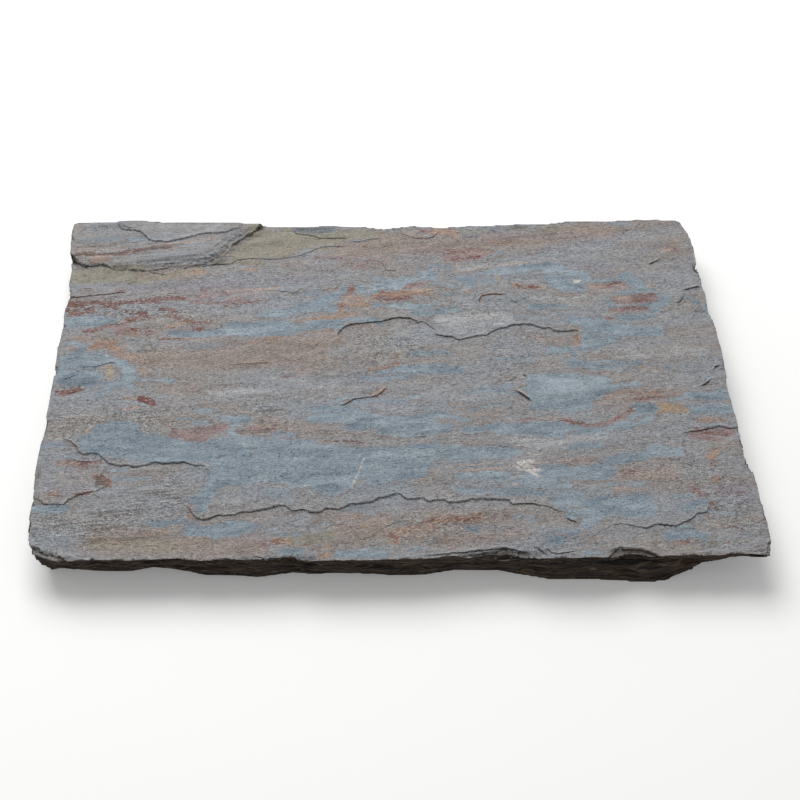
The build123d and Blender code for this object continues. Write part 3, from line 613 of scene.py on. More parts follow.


# Stains, and among the dim and dark strokes some painted shade.
# Each row is a stroke on the plan: half width in mm, strength, then x and y of its points

stainsAndShade = {
    "brown": [
        (16, 0.75, -215, 18, -160, 15, -110, 22, -70, 22), (8, 0.85, -110, 38, -75, 36, -50, 42),
        (8, 0.6, -75, 5, -45, 15), (8, 0.5, -200, -20, -150, -28), (5, 0.7, -160, -40, -135, -42),
        (6, 0.6, -195, -58, -165, -52), (6, 0.9, -110, -64, -95, -66), (4, 0.6, -110, -52, -98, -54),
        (5, 0.6, -75, -66, -60, -66), (5, 0.6, 62, -40, 85, -46, 70, -56, 95, -52),
        (3, 0.7, 50, -55, 75, -64, 95, -60), (6, 0.7, 130, 46, 150, 43, 168, 42), (4, 0.5, 150, 60, 175, 58),
        (7, 0.6, 190, 22, 220, 26, 250, 24), (7, 0.7, -60, -163, -30, -162, -5, -165),
        (8, 0.8, -40, -176, 0, -178, 40, -176), (8, 0.7, 40, -165, 80, -163, 110, -160),
        (8, 0.7, 45, -185, 80, -182, 108, -178), (6, 0.7, -60, -188, -20, -188),
        (10, 0.8, -240, -190, -200, -190, -160, -190, -110, -192), (6, 0.7, -240, -178, -200, -180),
        (5, 0.8, 105, -84, 130, -78, 165, -76), (5, 0.3, 120, -106, 150, -104, 180, -102),
        (8, 0.8, 198, -118, 225, -120, 240, -115), (6, 0.6, 130, -134, 160, -128, 185, -124),
        (5, 0.8, 181, -36, 192, -31, 208, -24, 222, -18), (5, 0.8, 205, -34, 221, -30, 237, -26, 259, -25),
        (4, 0.7, 184, -43, 200, -39, 218, -31), (8, 0.4, 165, -186, 195, -184, 225, -190),
        (10, 0.8, 100, 176, 140, 176, 180, 182, 215, 190), (8, 0.7, 150, 188, 190, 192, 225, 192),
        (6, 0.6, 240, 198, 260, 200, 280, 203), (5, 0.4, 225, 170, 245, 172), (5, 0.6, 265, 165, 285, 160, 270, 175),
        (12, 0.8, -40, 162, 0, 165, 40, 165, 80, 165), (8, 0.8, -10, 180, 15, 178),
        (8, 0.7, 60, 178, 85, 174, 108, 172), (8, 0.6, -45, 142, -20, 140, 5, 150), (6, 0.6, -100, 143, -80, 143),
        (4, 0.7, -235, 128, -205, 130, -180, 133), (5, 0.5, -300, 163, -260, 165),
        (3, 0.5, 20, -82, 60, -80, 110, -84), (5, 0.6, -110, -190, -60, -190),
    ],
    "olive": [
        (11, 0.9, -294, 125, -262, 126, -235, 125), (5, 0.8, -240, 118, -215, 124, -200, 127),
        (3, 0.8, -200, 131, -180, 136), (12, 0.95, -128, 183, -110, 172, -88, 174),
        (10, 0.95, -142, 165, -120, 162, -100, 160), (6, 0.9, -150, 152, -132, 156),
        (8, 0.95, -100, 186, -70, 176, -40, 184), (6, 0.8, -40, 184, -15, 188),
        (5, 0.7, -170, 143, -150, 146, -120, 144), (4, 0.8, -70, 163, -50, 160), (4, 0.5, -20, 180, 0, 186),
        (5, 0.5, 62, 190, 85, 187, 112, 189), (5, 0.6, 120, 193, 150, 192, 175, 196), (8, 0.4, 0, 124, 25, 126),
        (3, 0.5, -290, 173, -262, 176), (4, 0.4, -280, 146, -262, 140, -245, 142),
        (6, 0.5, 225, -186, 245, -192, 265, -190), (4, 0.5, 280, -190, 300, -186),
        (9, 0.55, -238, -188, -205, -190, -170, -192), (7, 0.8, -80, -183, -62, -184, -45, -181),
        (5, 0.4, -160, 155, -110, 156),
    ],
    "pale": [
        (4, 0.9, -160, -27, -140, -25, -120, -22, -100, -25), (3, 0.5, -270, -44, -250, -48),
        (10, 1, 50, 66, 75, 66, 105, 70), (8, 0.8, 60, 56, 85, 54), (6, 0.6, 66, 92, 76, 90),
        (5, 0.6, 135, 96, 160, 95, 185, 98), (4, 0.7, 120, 121, 140, 121),
        (3.2, 0.9, 62, 137, 85, 137, 110, 140, 128, 144), (1.6, 0.8, 128, 143, 148, 146),
        (6, 0.5, 180, 28, 215, 30, 245, 32), (5, 0.5, -140, -143, -110, -148, -60, -146),
        (6, 0.4, -20, -142, 0, -136), (6, 0.4, 225, -58, 260, -56), (7, 0.5, -105, -8, -75, -12, -50, -20),
        (5, 0.5, -120, -38, -90, -36), (4, 0.5, -238, 8, -232, -4, -233, -14),
        (7, 0.6, -240, 190, -200, 187, -165, 189), (5, 0.6, -225, 178, -200, 180, -170, 186),
        (8, 0.4, -230, 168, -180, 166), (4, 0.6, -262, 170, -240, 174), (9, 0.6, 205, 20, 240, 26, 285, 25),
        (8, 0.85, 104, -84, 140, -82, 178, -79), (5, 0.4, 195, -190, 235, -195),
        (8, 0.45, 210, -88, 240, -84, 262, -90), (8, 0.4, 200, 60, 260, 70, 285, 60), (9, 0.4, 250, 140, 285, 120),
        (5, 0.6, -5, -46, 20, -44), (4, 0.5, 0, 58, 20, 55), (5, 0.5, 60, -134, 85, -130),
        (5, 0.5, 105, -98, 125, -96), (5, 0.3, -285, -134, -262, -130), (4, 0.5, -300, 30, -292, 30),
        (5, 0.5, -295, -74, -282, -75), (6, 0.4, 270, 130, 290, 125), (3, 0.5, -85, -165, -70, -162),
    ],
    "plum": [
        (9, 0.6, -200, 112, -170, 112, -140, 115), (8, 0.55, -240, 106, -215, 112),
        (8, 0.5, -120, 130, -90, 122, -60, 118), (6, 0.5, -190, 92, -160, 92, -120, 98),
        (7, 0.45, -245, 66, -225, 62, -215, 68), (7, 0.5, 150, 168, 190, 174, 220, 178), (6, 0.4, 100, 162, 130, 165),
        (8, 0.5, 240, 160, 265, 168), (5, 0.7, 186, 136, 205, 132, 215, 126), (5, 0.6, 285, -138, 305, -136),
        (4, 0.8, 256, -134, 266, -138), (8, 0.8, 281, -133, 296, -134, 301, -140),
        (7, 0.5, -240, -112, -220, -118, -200, -122), (6, 0.5, -295, -110, -275, -116, -262, -120),
        (7, 0.55, -290, -132, -270, -136, -256, -130), (5, 0.5, -262, -130, -250, -127), (6, 0.4, 55, -68, 95, -64),
        (6, 0.35, 48, -108, 75, -110, 108, -106), (7, 0.4, 110, 180, 150, 182, 200, 188),
        (6, 0.5, 15, -152, 45, -152, 90, -150), (5, 0.5, 182, -40, 205, -40), (5, 0.5, -40, -82, -15, -86),
        (6, 0.4, 230, 40, 262, 36, 285, 45), (6, 0.4, -80, 140, -55, 132), (5, 0.4, -115, 84, -90, 86, -72, 84),
        (6, 0.4, 95, 4, 120, 6, 150, 2), (6, 0.4, 60, -6, 100, -8), (4, 0.5, -235, 74, -205, 72),
    ],
    "haze": [
        (10, 0.8, -62, -134, -20, -134, 12, -130), (9, 0.75, 50, -112, 80, -111, 120, -107, 150, -103),
        (9, 0.7, 60, -128, 110, -130), (10, 0.7, -145, -110, -110, -132, -80, -140),
        (7, 0.5, -40, -82, 0, -82, 55, -84), (9, 0.6, -110, -44, -70, -42), (8, 0.6, 150, -135, 210, -137),
        (6, 0.5, -15, 112, 40, 106), (7, 0.5, -110, 92, -70, 104), (8, 0.6, 92, 126, 150, 128),
        (7, 0.6, 125, 76, 195, 76), (6, 0.4, 195, 32, 235, 40), (8, 0.5, 230, -152, 290, -152),
        (8, 0.5, -245, -62, -205, -66), (8, 0.5, -30, 0, 50, 14), (7, 0.5, -200, 54, -150, 58),
        (7, 0.4, 235, -62, 290, -52),
    ],
    "blue": [
        (7, 1, -294, 64, -272, 65, -257, 64), (2.5, 0.9, -298, 35, -285, 36, -276, 34), (3.5, 1, -280, 34, -279, 24),
        (9, 1, -291, 12, -270, 14, -252, 14), (9, 1, -293, -4, -274, -6, -264, -8),
        (7, 1, -240, 10, -233, 2, -231, -6), (5, 1, -252, -16, -240, -14, -229, -16),
        (2.5, 0.9, -222, -20, -236, -20), (2.2, 1, -224, -9, -207, -9, -193, -10), (3.5, 0.8, -248, -23, -254, -27),
        (9, 1, -148, 54, -120, 54, -95, 56), (4, 0.95, -200, 49, -175, 48, -150, 50),
        (7, 0.95, -110, 52, -85, 53, -66, 58, -48, 62), (3.5, 0.85, -75, 63, -45, 66, -18, 66, -8, 64),
        (4, 0.5, -186, 29, -165, 32, -155, 35), (3, 0.5, -240, 40, -226, 42), (4, 0.8, -118, 71, -95, 74),
        (8, 1, -250, -67, -232, -66, -218, -70), (12, 1, -256, -83, -225, -89, -190, -92, -165, -94),
        (8, 1, -205, -80, -185, -85), (12, 1, -158, -93, -130, -86, -100, -89),
        (12, 1, -138, -104, -110, -104, -90, -101), (10, 0.95, -140, -119, -115, -118, -95, -118),
        (8, 1, -158, -150, -152, -138, -146, -125), (3.5, 1, -147, -54, -135, -57, -124, -54),
        (3, 1, -140, -60, -133, -62), (3.5, 1, -167, -46, -155, -46), (2, 0.9, -183, -56, -172, -57),
        (2.5, 1, -167, -58, -161, -59), (3.5, 1, -133, -66, -130, -72), (4, 0.7, -297, -85, -285, -84, -280, -88),
        (3, 0.7, -238, -110, -222, -112), (4, 0.6, -235, -121, -215, -121, -199, -123),
        (5, 0.8, -296, -152, -280, -155, -268, -154), (2, 0.5, -262, -148, -250, -146, -240, -140),
        (4, 0.7, -203, -166, -190, -170, -175, -164, -160, -168),
        (6, 0.85, -163, -176, -145, -176, -125, -170, -112, -172), (4, 0.7, -140, -182, -118, -176),
        (5, 0.6, -118, -172, -98, -176), (12, 1, -100, -90, -75, -90, -62, -96),
        (12, 1, -90, -108, -60, -110, -35, -108), (10, 0.95, -80, -122, -60, -124, -45, -124),
        (9, 0.95, -50, -94, -20, -96, 10, -96, 40, -92), (11, 1, -30, -112, 0, -112, 25, -108),
        (8, 0.9, 40, -92, 70, -93, 100, -94), (6, 0.8, -10, -124, 12, -120, 30, -116),
        (7, 0.85, -55, -130, -42, -134, -35, -126), (7, 0.8, -5, -68, 20, -70, 50, -66),
        (5, 0.6, -100, -132, -85, -136, -95, -142), (5, 0.8, 60, -120, 90, -118, 112, -118),
        (6, 0.6, 62, -137, 85, -138, 110, -136), (4, 0.9, -88, -198, -72, -199),
        (4, 0.95, -42, -200, -20, -199, -4, -200), (2, 0.8, -16, -195, -8, -194), (3, 0.8, 19, -195, 27, -193),
        (3.5, 0.9, 65, -173, 73, -176), (2.5, 0.5, 82, -172, 95, -174), (5, 0.5, -104, -172, -88, -178, -75, -180),
        (7, 0.9, 95, -66, 120, -70, 150, -72), (4, 0.85, 150, -68, 180, -68, 215, -61), (5, 0.8, 95, -94, 112, -93),
        (3.5, 0.8, 152, -88, 170, -86, 187, -88), (6, 1, 190, -104, 210, -98, 230, -92, 248, -92),
        (3.5, 0.9, 222, -87, 240, -87), (8, 0.95, 98, -124, 125, -120, 150, -116, 185, -115),
        (6, 0.7, 120, -128, 150, -130), (5, 0.65, 105, -137, 140, -139, 165, -140),
        (3, 0.7, 180, -130, 200, -129, 218, -127), (6, 0.95, 148, -146, 175, -150, 200, -148, 218, -144),
        (7, 1, 178, -156, 200, -157, 218, -156), (5, 0.85, 138, -147, 150, -153), (6, 0.85, 152, -160, 172, -158),
        (5, 0.8, 160, -173, 176, -164), (3.5, 0.9, 240, -142, 255, -140), (5, 0.85, 252, -152, 264, -148),
        (1.8, 0.9, 268, -157, 280, -159, 291, -158), (4.5, 0.95, 230, -183, 245, -180, 258, -182),
        (3, 0.9, 240, -174, 250, -172), (5, 0.95, 134, -189, 142, -184, 150, -180), (3.5, 0.6, 128, -183, 140, -176),
        (2.5, 0.8, 155, -199, 172, -199), (1.5, 0.6, 195, -188, 203, -187), (6, 0.9, 165, 66, 180, 64, 196, 62),
        (8, 0.8, 186, 52, 205, 55, 225, 52, 248, 54), (5, 0.8, 180, 42, 195, 42, 210, 44),
        (5, 0.8, 148, 30, 165, 30, 185, 34, 205, 38), (3, 0.9, 167, 18, 170, 30),
        (3, 0.9, 160, 15, 185, 13, 205, 13, 226, 13), (5, 0.6, 165, 8, 190, 7, 215, 6),
        (3, 0.8, 95, 18, 112, 17, 130, 14), (10, 1, 132, -10, 155, -10, 190, -12),
        (11, 1, 130, -24, 155, -26, 180, -22), (8, 1, 131, -38, 150, -38, 172, -38),
        (4, 0.9, 190, -22, 205, -15, 222, -14), (5, 0.6, 96, -22, 112, -25), (6, 1, 217, -44, 232, -44),
        (4, 0.9, 212, -55, 222, -50), (5, 0.9, 268, -28, 285, -28, 302, -26), (6, 0.95, 268, -44, 285, -41, 302, -44),
        (3, 0.8, 245, -33, 262, -32), (5, 0.5, 252, 6, 265, 10, 275, -2, 288, -4),
        (6, 0.95, 110, -66, 135, -63, 155, -66), (4, 0.9, 165, -70, 190, -68, 215, -62, 232, -54),
        (3, 0.6, 184, -38, 190, -44), (5.5, 1, 98, 131, 118, 132, 135, 135, 152, 139), (7, 1, 155, 136, 165, 132),
        (8, 1, 155, 118, 165, 112, 180, 112), (5, 0.9, 165, 124, 180, 128, 190, 124),
        (3.5, 0.9, 185, 119, 205, 119, 222, 119), (7, 0.95, 227, 124, 236, 116, 232, 106),
        (4, 0.8, 212, 104, 228, 103), (3, 0.8, 245, 104, 255, 98), (2.5, 0.8, 129, 98, 128, 86),
        (4, 0.85, 130, 86, 148, 86, 165, 84), (6, 0.5, 118, 74, 140, 72, 152, 64), (4, 0.85, 203, 90, 208, 84),
        (5, 0.85, 235, 84, 250, 86, 258, 90), (5, 0.8, 215, 70, 235, 70, 250, 78),
        (5, 0.6, 240, 112, 255, 100, 262, 92), (5, 0.6, 278, 96, 290, 90, 294, 80), (3, 0.8, 218, 200, 236, 199),
        (3, 0.6, 140, 122, 150, 126), (7, 0.9, -110, 74, -95, 76, -80, 82, -62, 84, -55, 80),
        (6, 0.85, -62, 92, -50, 98, -44, 106), (4, 0.7, -78, 100, -62, 104), (4.5, 0.9, -30, 107, -16, 105),
        (6, 0.9, -5, 112, 8, 112, 14, 116), (5, 0.7, -15, 122, 5, 120, 20, 122), (5, 0.8, 28, 128, 38, 126, 42, 132),
        (4, 0.7, 36, 138, 50, 140, 60, 136), (6, 0.6, 45, 118, 62, 110, 75, 112), (5, 0.85, 88, 130, 100, 131),
        (6, 0.7, 60, 122, 80, 122, 95, 116), (4, 0.8, -15, 86, 5, 85, 25, 84, 45, 86),
        (4, 0.9, 22, 77, 35, 76, 55, 79, 65, 80), (3, 0.8, -22, 68, -12, 68), (3, 0.7, 55, 98, 70, 103),
        (4, 0.6, 92, 152, 108, 158), (2, 0.8, -38, 174, -25, 176, -8, 178), (4, 0.8, 20, 23, 35, 25, 55, 26),
        (6, 0.9, -8, 4, 10, 5, 30, 4, 50, 6, 62, 4), (4, 0.8, -25, -2, -12, -8, 5, -6, 20, -4),
        (3.5, 0.5, -38, 12, -30, 5, -25, -2), (4, 0.45, -40, 30, -38, 15), (5, 0.6, 68, -24, 90, -20, 110, -14),
        (5, 0.85, -68, -44, -50, -42, -35, -46), (4, 0.8, -48, -34, -38, -30), (6, 0.9, -65, -55, -45, -55, -28, -58),
        (6, 0.9, -40, -42, -25, -50, -12, -55), (4, 0.8, -30, -35, -10, -33, 10, -33, 25, -28),
        (7, 0.85, -30, -64, -15, -60, 10, -58, 35, -60), (5, 0.8, 0, -54, 20, -55, 45, -50),
        (4, 0.8, 45, -50, 60, -56, 70, -58), (5, 0.7, 70, -70, 90, -66, 108, -68),
        (2.5, 0.8, 75, -46, 90, -40, 105, -38), (4, 0.7, -100, -73, -80, -74),
        (4, 0.55, -300, 170, -262, 172, -235, 173), (3, 0.5, -300, 181, -262, 179), (5, 0.5, 95, 191, 115, 188),
        (5, 0.5, -20, 12, -10, 8), (6, 0.5, -30, -152, -10, -156), (5, 0.5, 100, -160, 130, -165),
    ],
    "deep": [
        (3, 0.8, 38, 24, 55, 27), (2.5, 0.8, 45, 2, 62, 4), (3, 0.8, -38, -62, -20, -64),
        (3, 0.7, -25, -57, -10, -57), (4, 0.6, -102, -110, -84, -118), (2, 0.8, 205, 13, 226, 13),
        (4, 0.8, 218, -44, 230, -43), (3, 0.7, 272, -30, 292, -31), (6, 0.9, -292, -10, -277, -12, -264, -9),
        (3, 0.7, -290, -6, -278, -3, -268, 4, -256, 9), (3, 0.7, 120, -70, 142, -73),
        (2.5, 0.8, 233, -183, 242, -178), (3, 0.7, 134, -190, 146, -187), (3, 0.8, 64, -173, 72, -176),
        (2, 0.8, 168, 22, 170, 32), (2, 0.7, 180, -156, 214, -158), (2, 0.7, 180, -147, 205, -146),
        (5, 0.9, -88, 190, -70, 189, -55, 193), (3, 0.6, 100, 133, 130, 138, 150, 143), (3, 0.6, 226, 122, 233, 108),
        (4, 0.6, 275, 96, 290, 88), (3, 0.6, -60, -128, -42, -132), (3, 0.5, -10, -100, 15, -102),
        (3, 0.6, -96, 84, -80, 86), (2, 0.7, -120, 58, -100, 60), (3, 0.6, 280, -42, 300, -44),
        (3, 0.6, -250, -88, -215, -92), (3, 0.6, 20, -110, 45, -106), (4, 0.5, -205, -88, -180, -88),
        (3, 0.5, 160, -30, 190, -24), (3, 0.5, 55, 120, 85, 122), (2.5, 0.7, 24, 76, 50, 78),
        (3, 0.5, -100, 128, -80, 132),
    ],
    "light": [
        (6, 0.8, -145, 50, -120, 52, -100, 54), (4, 0.7, -180, 47, -160, 48), (5, 1, -240, 8, -233, 0, -232, -10),
        (2.2, 0.7, -222, -9, -195, -10), (10, 0.7, 140, -12, 165, -18, 190, -12), (6, 0.45, 130, -34, 155, -38),
        (5, 0.5, 120, -2, 150, -4), (5, 0.6, 0, 114, 22, 112), (9, 0.65, 156, 132, 158, 118, 162, 110),
        (6, 0.7, 168, 130, 185, 127), (5, 0.8, -28, 110, 0, 110, 28, 122), (4, 0.9, 28, 128, 40, 126),
        (5, 0.6, 60, -90, 80, -90, 100, -90), (6, 0.5, -125, -84, -110, -110), (8, 0.4, -75, -88, -65, -105),
        (5, 0.6, -25, -63, -5, -60, 15, -64), (5, 0.6, 30, -52, 55, -54), (7, 0.5, -20, -98, 5, -96),
        (3, 0.6, -90, -198, -72, -198), (3, 0.7, -40, -199, -8, -199), (3, 0.8, 235, -177, 250, -180),
        (4, 0.6, 190, -156, 210, -153), (4, 0.6, 200, -130, 215, -129), (4, 0.7, 170, 66, 190, 62),
        (5, 0.6, 200, 52, 225, 50), (5, 0.5, 235, 120, 232, 106), (5, 0.7, -280, 66, -262, 64),
        (3, 0.7, -60, 92, -50, 92), (4, 0.7, -28, 105, -16, 106), (4, 0.7, 5, 85, 25, 85),
        (3, 0.6, 98, 134, 120, 135), (6, 0.5, 270, -158, 290, -160), (4, 0.6, -118, 76, -90, 76),
        (3, 0.6, -160, -46, -130, -56), (3, 0.6, -135, -62, -132, -72), (8, 0.6, 205, -62, 180, -72),
        (3, 0.7, -155, -152, -160, -140, -150, -128), (6, 0.5, 245, 105, 262, 100), (6, 0.4, -70, -46, -50, -50),
        (4, 0.5, 60, -118, 100, -118), (5, 0.5, 105, -122, 140, -118), (4, 0.4, 18, 24, 30, 25),
        (6, 0.5, 60, 0, 90, -18), (3, 0.5, 40, 120, 60, 118), (3, 0.5, -300, -150, -285, -152),
    ],
    "mauve": [
        (6, 1, -186, -72, -172, -72, -160, -68, -146, -66), (4, 1, -170, -78, -160, -78),
        (5, 0.75, -124, -69, -110, -68, -100, -68), (3.5, 0.9, -267, 55, -255, 58, -243, 56, -236, 52),
        (2.5, 0.9, -278, 52, -262, 55), (4, 0.8, -245, 50, -232, 52), (4, 0.9, -177, 100, -172, 98),
        (3, 0.7, -163, 105, -152, 104), (4, 0.9, -40, 101, -37, 108), (4, 0.8, -38, 96, -34, 92),
        (5, 0.9, -10, 99, 5, 97, 18, 97), (3.5, 0.8, 18, 111, 28, 114, 35, 116), (4, 0.9, 55, 150, 70, 150, 88, 153),
        (5, 0.7, 60, 158, 80, 160, 96, 158), (5, 1, 214, 93, 230, 94, 250, 95), (3.5, 1, 236, 98, 247, 100),
        (2.5, 1, 207, 80, 222, 81, 240, 83), (2.5, 1, 202, 68, 207, 69), (5, 0.9, 264, -71, 280, -70, 294, -69),
        (3, 0.8, 270, -77, 288, -78), (1.8, 0.9, 112, -58, 128, -55, 150, -53, 158, -55),
        (2.4, 1, 152, -54, 160, -59, 172, -63, 188, -62), (2.4, 1, 188, -62, 200, -57, 208, -51, 212, -46),
        (3, 0.7, -292, -24, -275, -24), (4, 0.8, -272, -104, -262, -104, -250, -104), (4, 0.6, -240, 128, -225, 128),
        (5, 0.6, -30, 140, -18, 146), (4, 0.6, -185, 92, -160, 88, -130, 92), (3, 0.7, 34, 191, 40, 191),
        (4, 0.6, 46, 184, 56, 188), (3, 0.7, 198, 110, 212, 112, 220, 113), (4, 0.7, 200, -117, 212, -115),
        (3, 0.7, 273, -123, 277, -122), (4, 0.8, 255, -134, 266, -138), (5, 0.42, 278, -134, 298, -137),
        (3, 0.7, -250, 60, -240, 64), (4, 0.6, -70, 150, -45, 150), (3, 0.7, 266, 165, 276, 162),
        (2, 0.7, -97, -6, -85, -5), (4, 0.6, -100, -190, -85, -188), (3, 0.7, 30, -168, 52, -164, 76, -161),
        (3, 0.6, -150, 92, -138, 96), (3.5, 0.5, -180, 108, -172, 102), (3, 0.6, -300, 88, -288, 82),
        (3, 0.6, 60, 148, 66, 146), (5, 0.7, -247, -119, -239, -126), (3, 0.7, -275, -106, -258, -108),
        (2.5, 0.7, 4, -186, 8, -188), (4, 0.5, 12, -176, 30, -172), (4, 0.6, 235, -190, 245, -187),
        (2.4, 0.7, 215, -27, 225, -22, 240, -24), (2.4, 0.9, 216, -33, 232, -31, 246, -29),
    ],
    "orange": [
        (5, 0.85, -268, 32, -255, 34, -244, 28), (6, 0.6, -250, 26, -240, 24, -228, 18),
        (3.5, 0.5, -232, 14, -222, 4, -218, -4), (2.5, 0.7, -292, 27, -284, 28),
        (3, 0.6, -296, 44, -278, 40, -258, 42), (3, 0.8, -268, 38, -250, 38),
        (1.8, 0.9, -212, 54, -202, 58, -192, 61), (1.3, 0.95, -205, 43, -185, 42, -170, 41, -150, 41),
        (1.3, 0.9, -145, 37, -130, 38, -118, 40, -106, 42, -95, 42), (1.8, 0.8, -85, 47, -68, 51, -52, 54),
        (2.5, 0.9, -78, 67, -62, 70, -45, 73, -30, 75), (3, 0.95, -45, 86, -32, 87, -20, 88),
        (3.5, 0.9, -30, 98, -26, 91), (2.5, 0.8, -46, 80, -44, 88), (3, 0.9, -12, 100, 5, 101, 18, 104),
        (4, 0.8, 20, 102, 32, 104, 38, 100), (1.5, 0.9, 48, 97, 56, 94, 66, 89), (2, 0.7, 70, 106, 74, 100),
        (1.2, 0.9, 83, 88, 85, 97, 92, 101, 105, 102), (2.6, 0.95, 116, 112, 128, 110, 142, 109),
        (2, 0.4, 100, 137, 120, 141), (1.4, 0.9, 185, 109, 200, 113, 222, 115, 218, 108), (5, 1, 46, 188, 62, 186),
        (5, 0.45, 95, 170, 112, 170), (5, 0.3, 178, 194, 195, 190, 210, 192), (0.9, 1, -120, -178, -116, -178),
        (3, 0.9, -58, -201, -46, -200), (3.5, 0.7, -92, -186, -78, -187), (4, 0.7, 8, -180, 20, -175, 34, -172),
        (3.5, 0.75, 36, -168, 55, -165, 76, -161), (3, 0.85, 4, -187, 8, -188), (4.5, 0.95, 279, -92, 277, -99),
        (3, 0.7, 276, -107, 280, -104), (2.8, 0.9, 275, -124, 278, -121), (2.5, 0.7, 285, -88, 295, -86),
        (1.4, 0.6, 205, -24, 218, -19), (1.8, 0.65, 222, -24, 240, -26, 258, -25), (2, 0.6, 222, -31, 245, -29),
        (3.5, 0.7, 272, -56, 290, -54, 297, -58), (3, 0.7, -282, -105, -270, -104), (1.8, 0.6, 102, -88, 112, -86),
        (3, 0.2, 70, -108, 92, -106, 110, -104), (3, 0.5, 150, -104, 170, -102), (2.5, 0.7, 272, -192, 280, -188),
        (2.5, 0.9, -2, -19, -7, -24, -12, -27), (2.8, 0.8, -18, 4, -4, 7, 8, 12), (2.5, 0.7, 7, 22, 9, 13),
        (2.5, 0.9, 171, 48, 175, 42, 172, 36), (1, 0.95, -30, 60, -20, 62, -12, 62), (2, 0.5, -298, -44, -292, -40),
        (3, 0.6, -62, 154, -45, 156), (3, 0.6, 22, 182, 38, 174), (3, 0.6, -284, 153, -272, 150),
        (2.5, 0.8, -282, 143, -268, 144), (2, 0.7, -160, 153, -155, 163), (3, 0.5, 130, -180, 150, -183, 175, -185),
        (2.5, 0.7, -150, 133, -138, 135, -125, 135), (2.5, 0.7, -215, 122, -200, 125),
        (2.5, 0.8, -192, 130, -175, 132), (1.2, 0.7, -268, 73, -255, 73), (2.5, 0.7, -235, -43, -228, -43),
        (2.5, 0.7, 190, -136, 212, -136), (2, 0.6, -55, -80, -45, -84), (4, 0.7, -236, 52, -230, 46),
        (3, 0.7, -240, -186, -222, -186), (2, 0.8, -166, -160, -160, -166), (2, 0.7, -290, -142, -278, -136),
        (2.5, 0.7, -70, 68, -78, 66), (3, 0.6, -200, -180, -180, -176), (3, 0.5, 262, -160, 275, -170),
        (3, 0.5, 200, -186, 216, -192), (2, 0.7, 66, 136, 68, 132), (2, 0.8, -165, -150, -163, -156),
        (1.5, 0.8, -196, 62, -186, 62), (2, 0.6, 232, 60, 242, 58), (2, 0.7, 300, 22, 302, 30),
        (1.5, 0.8, 230, -36, 236, -34),
    ],
    "ochre": [
        (4.5, 1, 240, -40, 250, -42, 259, -43), (2.5, 0.9, 236, -46, 246, -46), (2.2, 0.8, 256, -37, 260, -38),
        (3, 0.8, 14, 188, 23, 188), (1.4, 0.95, 101, 127, 106, 126, 102, 120, 107, 121),
        (1.6, 0.95, 113, 116, 118, 112, 122, 116), (3, 0.5, 25, 12, 40, 13, 55, 12), (3.6, 0.64, -259, 7, -250, 9),
        (4, 0.66, -253, 4, -249, -7), (2.4, 0.6, -262, -15, -255, -14), (3.5, 0.5, -72, -190, -45, -192),
        (3.5, 0.45, -30, -172, -15, -170, -2, -168), (6, 0.3, 250, -190, 268, -188, 278, -182),
        (4, 0.4, -290, -75, -278, -76), (3, 0.5, -262, -66, -254, -70), (4, 0.35, 150, -152, 162, -154, 158, -162),
        (3, 0.5, -90, 66, -70, 63), (3, 0.6, -22, 90, -14, 94), (4, 0.4, 300, -158, 308, -168),
        (4, 0.4, 180, 186, 215, 190), (3, 0.5, 98, -126, 104, -128), (1.4, 0.8, 60, 90, 66, 90),
        (3, 0.4, -300, 155, -285, 150), (3, 0.5, 165, 60, 175, 54), (3, 0.5, -175, 62, -150, 62),
        (3, 0.4, 230, 196, 250, 192), (3, 0.5, -198, -70, -198, -73), (3, 0.5, -120, -100, -118, -96),
        (4, 0.5, 225, 8, 240, 4), (3, 0.5, 45, 14, 60, 10), (4, 0.5, 245, 112, 252, 116),
    ],
    "rust": [
        (3.6, 1, -299, 88, -288, 85, -275, 89, -262, 88, -245, 90), (2.8, 1, -240, 90, -222, 93, -205, 95, -190, 95),
        (3, 1, -224, 93, -216, 89), (3, 1, -299, 79, -293, 75, -285, 76, -276, 79),
        (2, 0.8, -272, 82, -258, 84, -250, 80), (2.4, 0.8, -290, 104, -282, 108), (1.6, 0.8, -282, 100, -278, 104),
        (1.4, 0.8, -256, 104, -249, 106), (2.4, 1, -246, 78, -232, 76, -226, 72), (2.2, 1, -238, 68, -228, 76),
        (3, 1, -242, 67, -236, 65), (2, 0.8, -226, 68, -214, 70), (2.4, 0.95, -214, 80, -202, 81, -198, 77),
        (2.4, 0.95, -205, 72, -194, 68, -184, 64), (1.6, 0.95, -280, 50, -268, 53),
        (1.4, 0.9, -268, 55, -256, 59, -246, 60), (1.4, 0.8, -292, 51, -282, 51), (2.4, 0.9, -234, 53, -229, 52),
        (2, 0.95, -220, 55, -217, 50, -221, 46), (1, 0.9, -213, 43, -200, 42, -188, 42),
        (2.2, 0.95, -178, 56, -171, 55), (1.5, 0.7, -185, 62, -170, 62),
        (1.3, 0.9, -152, 83, -142, 86, -130, 89, -118, 92), (1.3, 0.7, -155, 75, -150, 79),
        (2, 0.7, -38, 106, -35, 112), (1.6, 0.9, -45, 85, -38, 84), (2.4, 0.95, -9, 94, 0, 93, 6, 96),
        (2, 0.7, 6, 94, 20, 98), (1.6, 0.7, 20, 111, 28, 116), (1.6, 0.9, 60, 148, 75, 149, 88, 152),
        (1.3, 0.8, 52, 163, 62, 158, 75, 158), (1.6, 0.9, 34, 191, 40, 191), (2.2, 0.9, 122, 112, 132, 107, 140, 110),
        (1.2, 0.95, 205, 114, 223, 116), (2.6, 0.8, 228, 92, 244, 92), (2.2, 0.95, 240, 99, 249, 101),
        (1.2, 0.7, 210, 80, 225, 81, 240, 83), (1.4, 0.9, 203, 74, 206, 69),
        (3.4, 1, -274, -21, -284, -24, -291, -25.5), (2, 0.6, -178, -72, -165, -70),
        (1.3, 0.8, -56, -80, -40, -81, -18, -83), (3.4, 1, -245, -119, -238, -126),
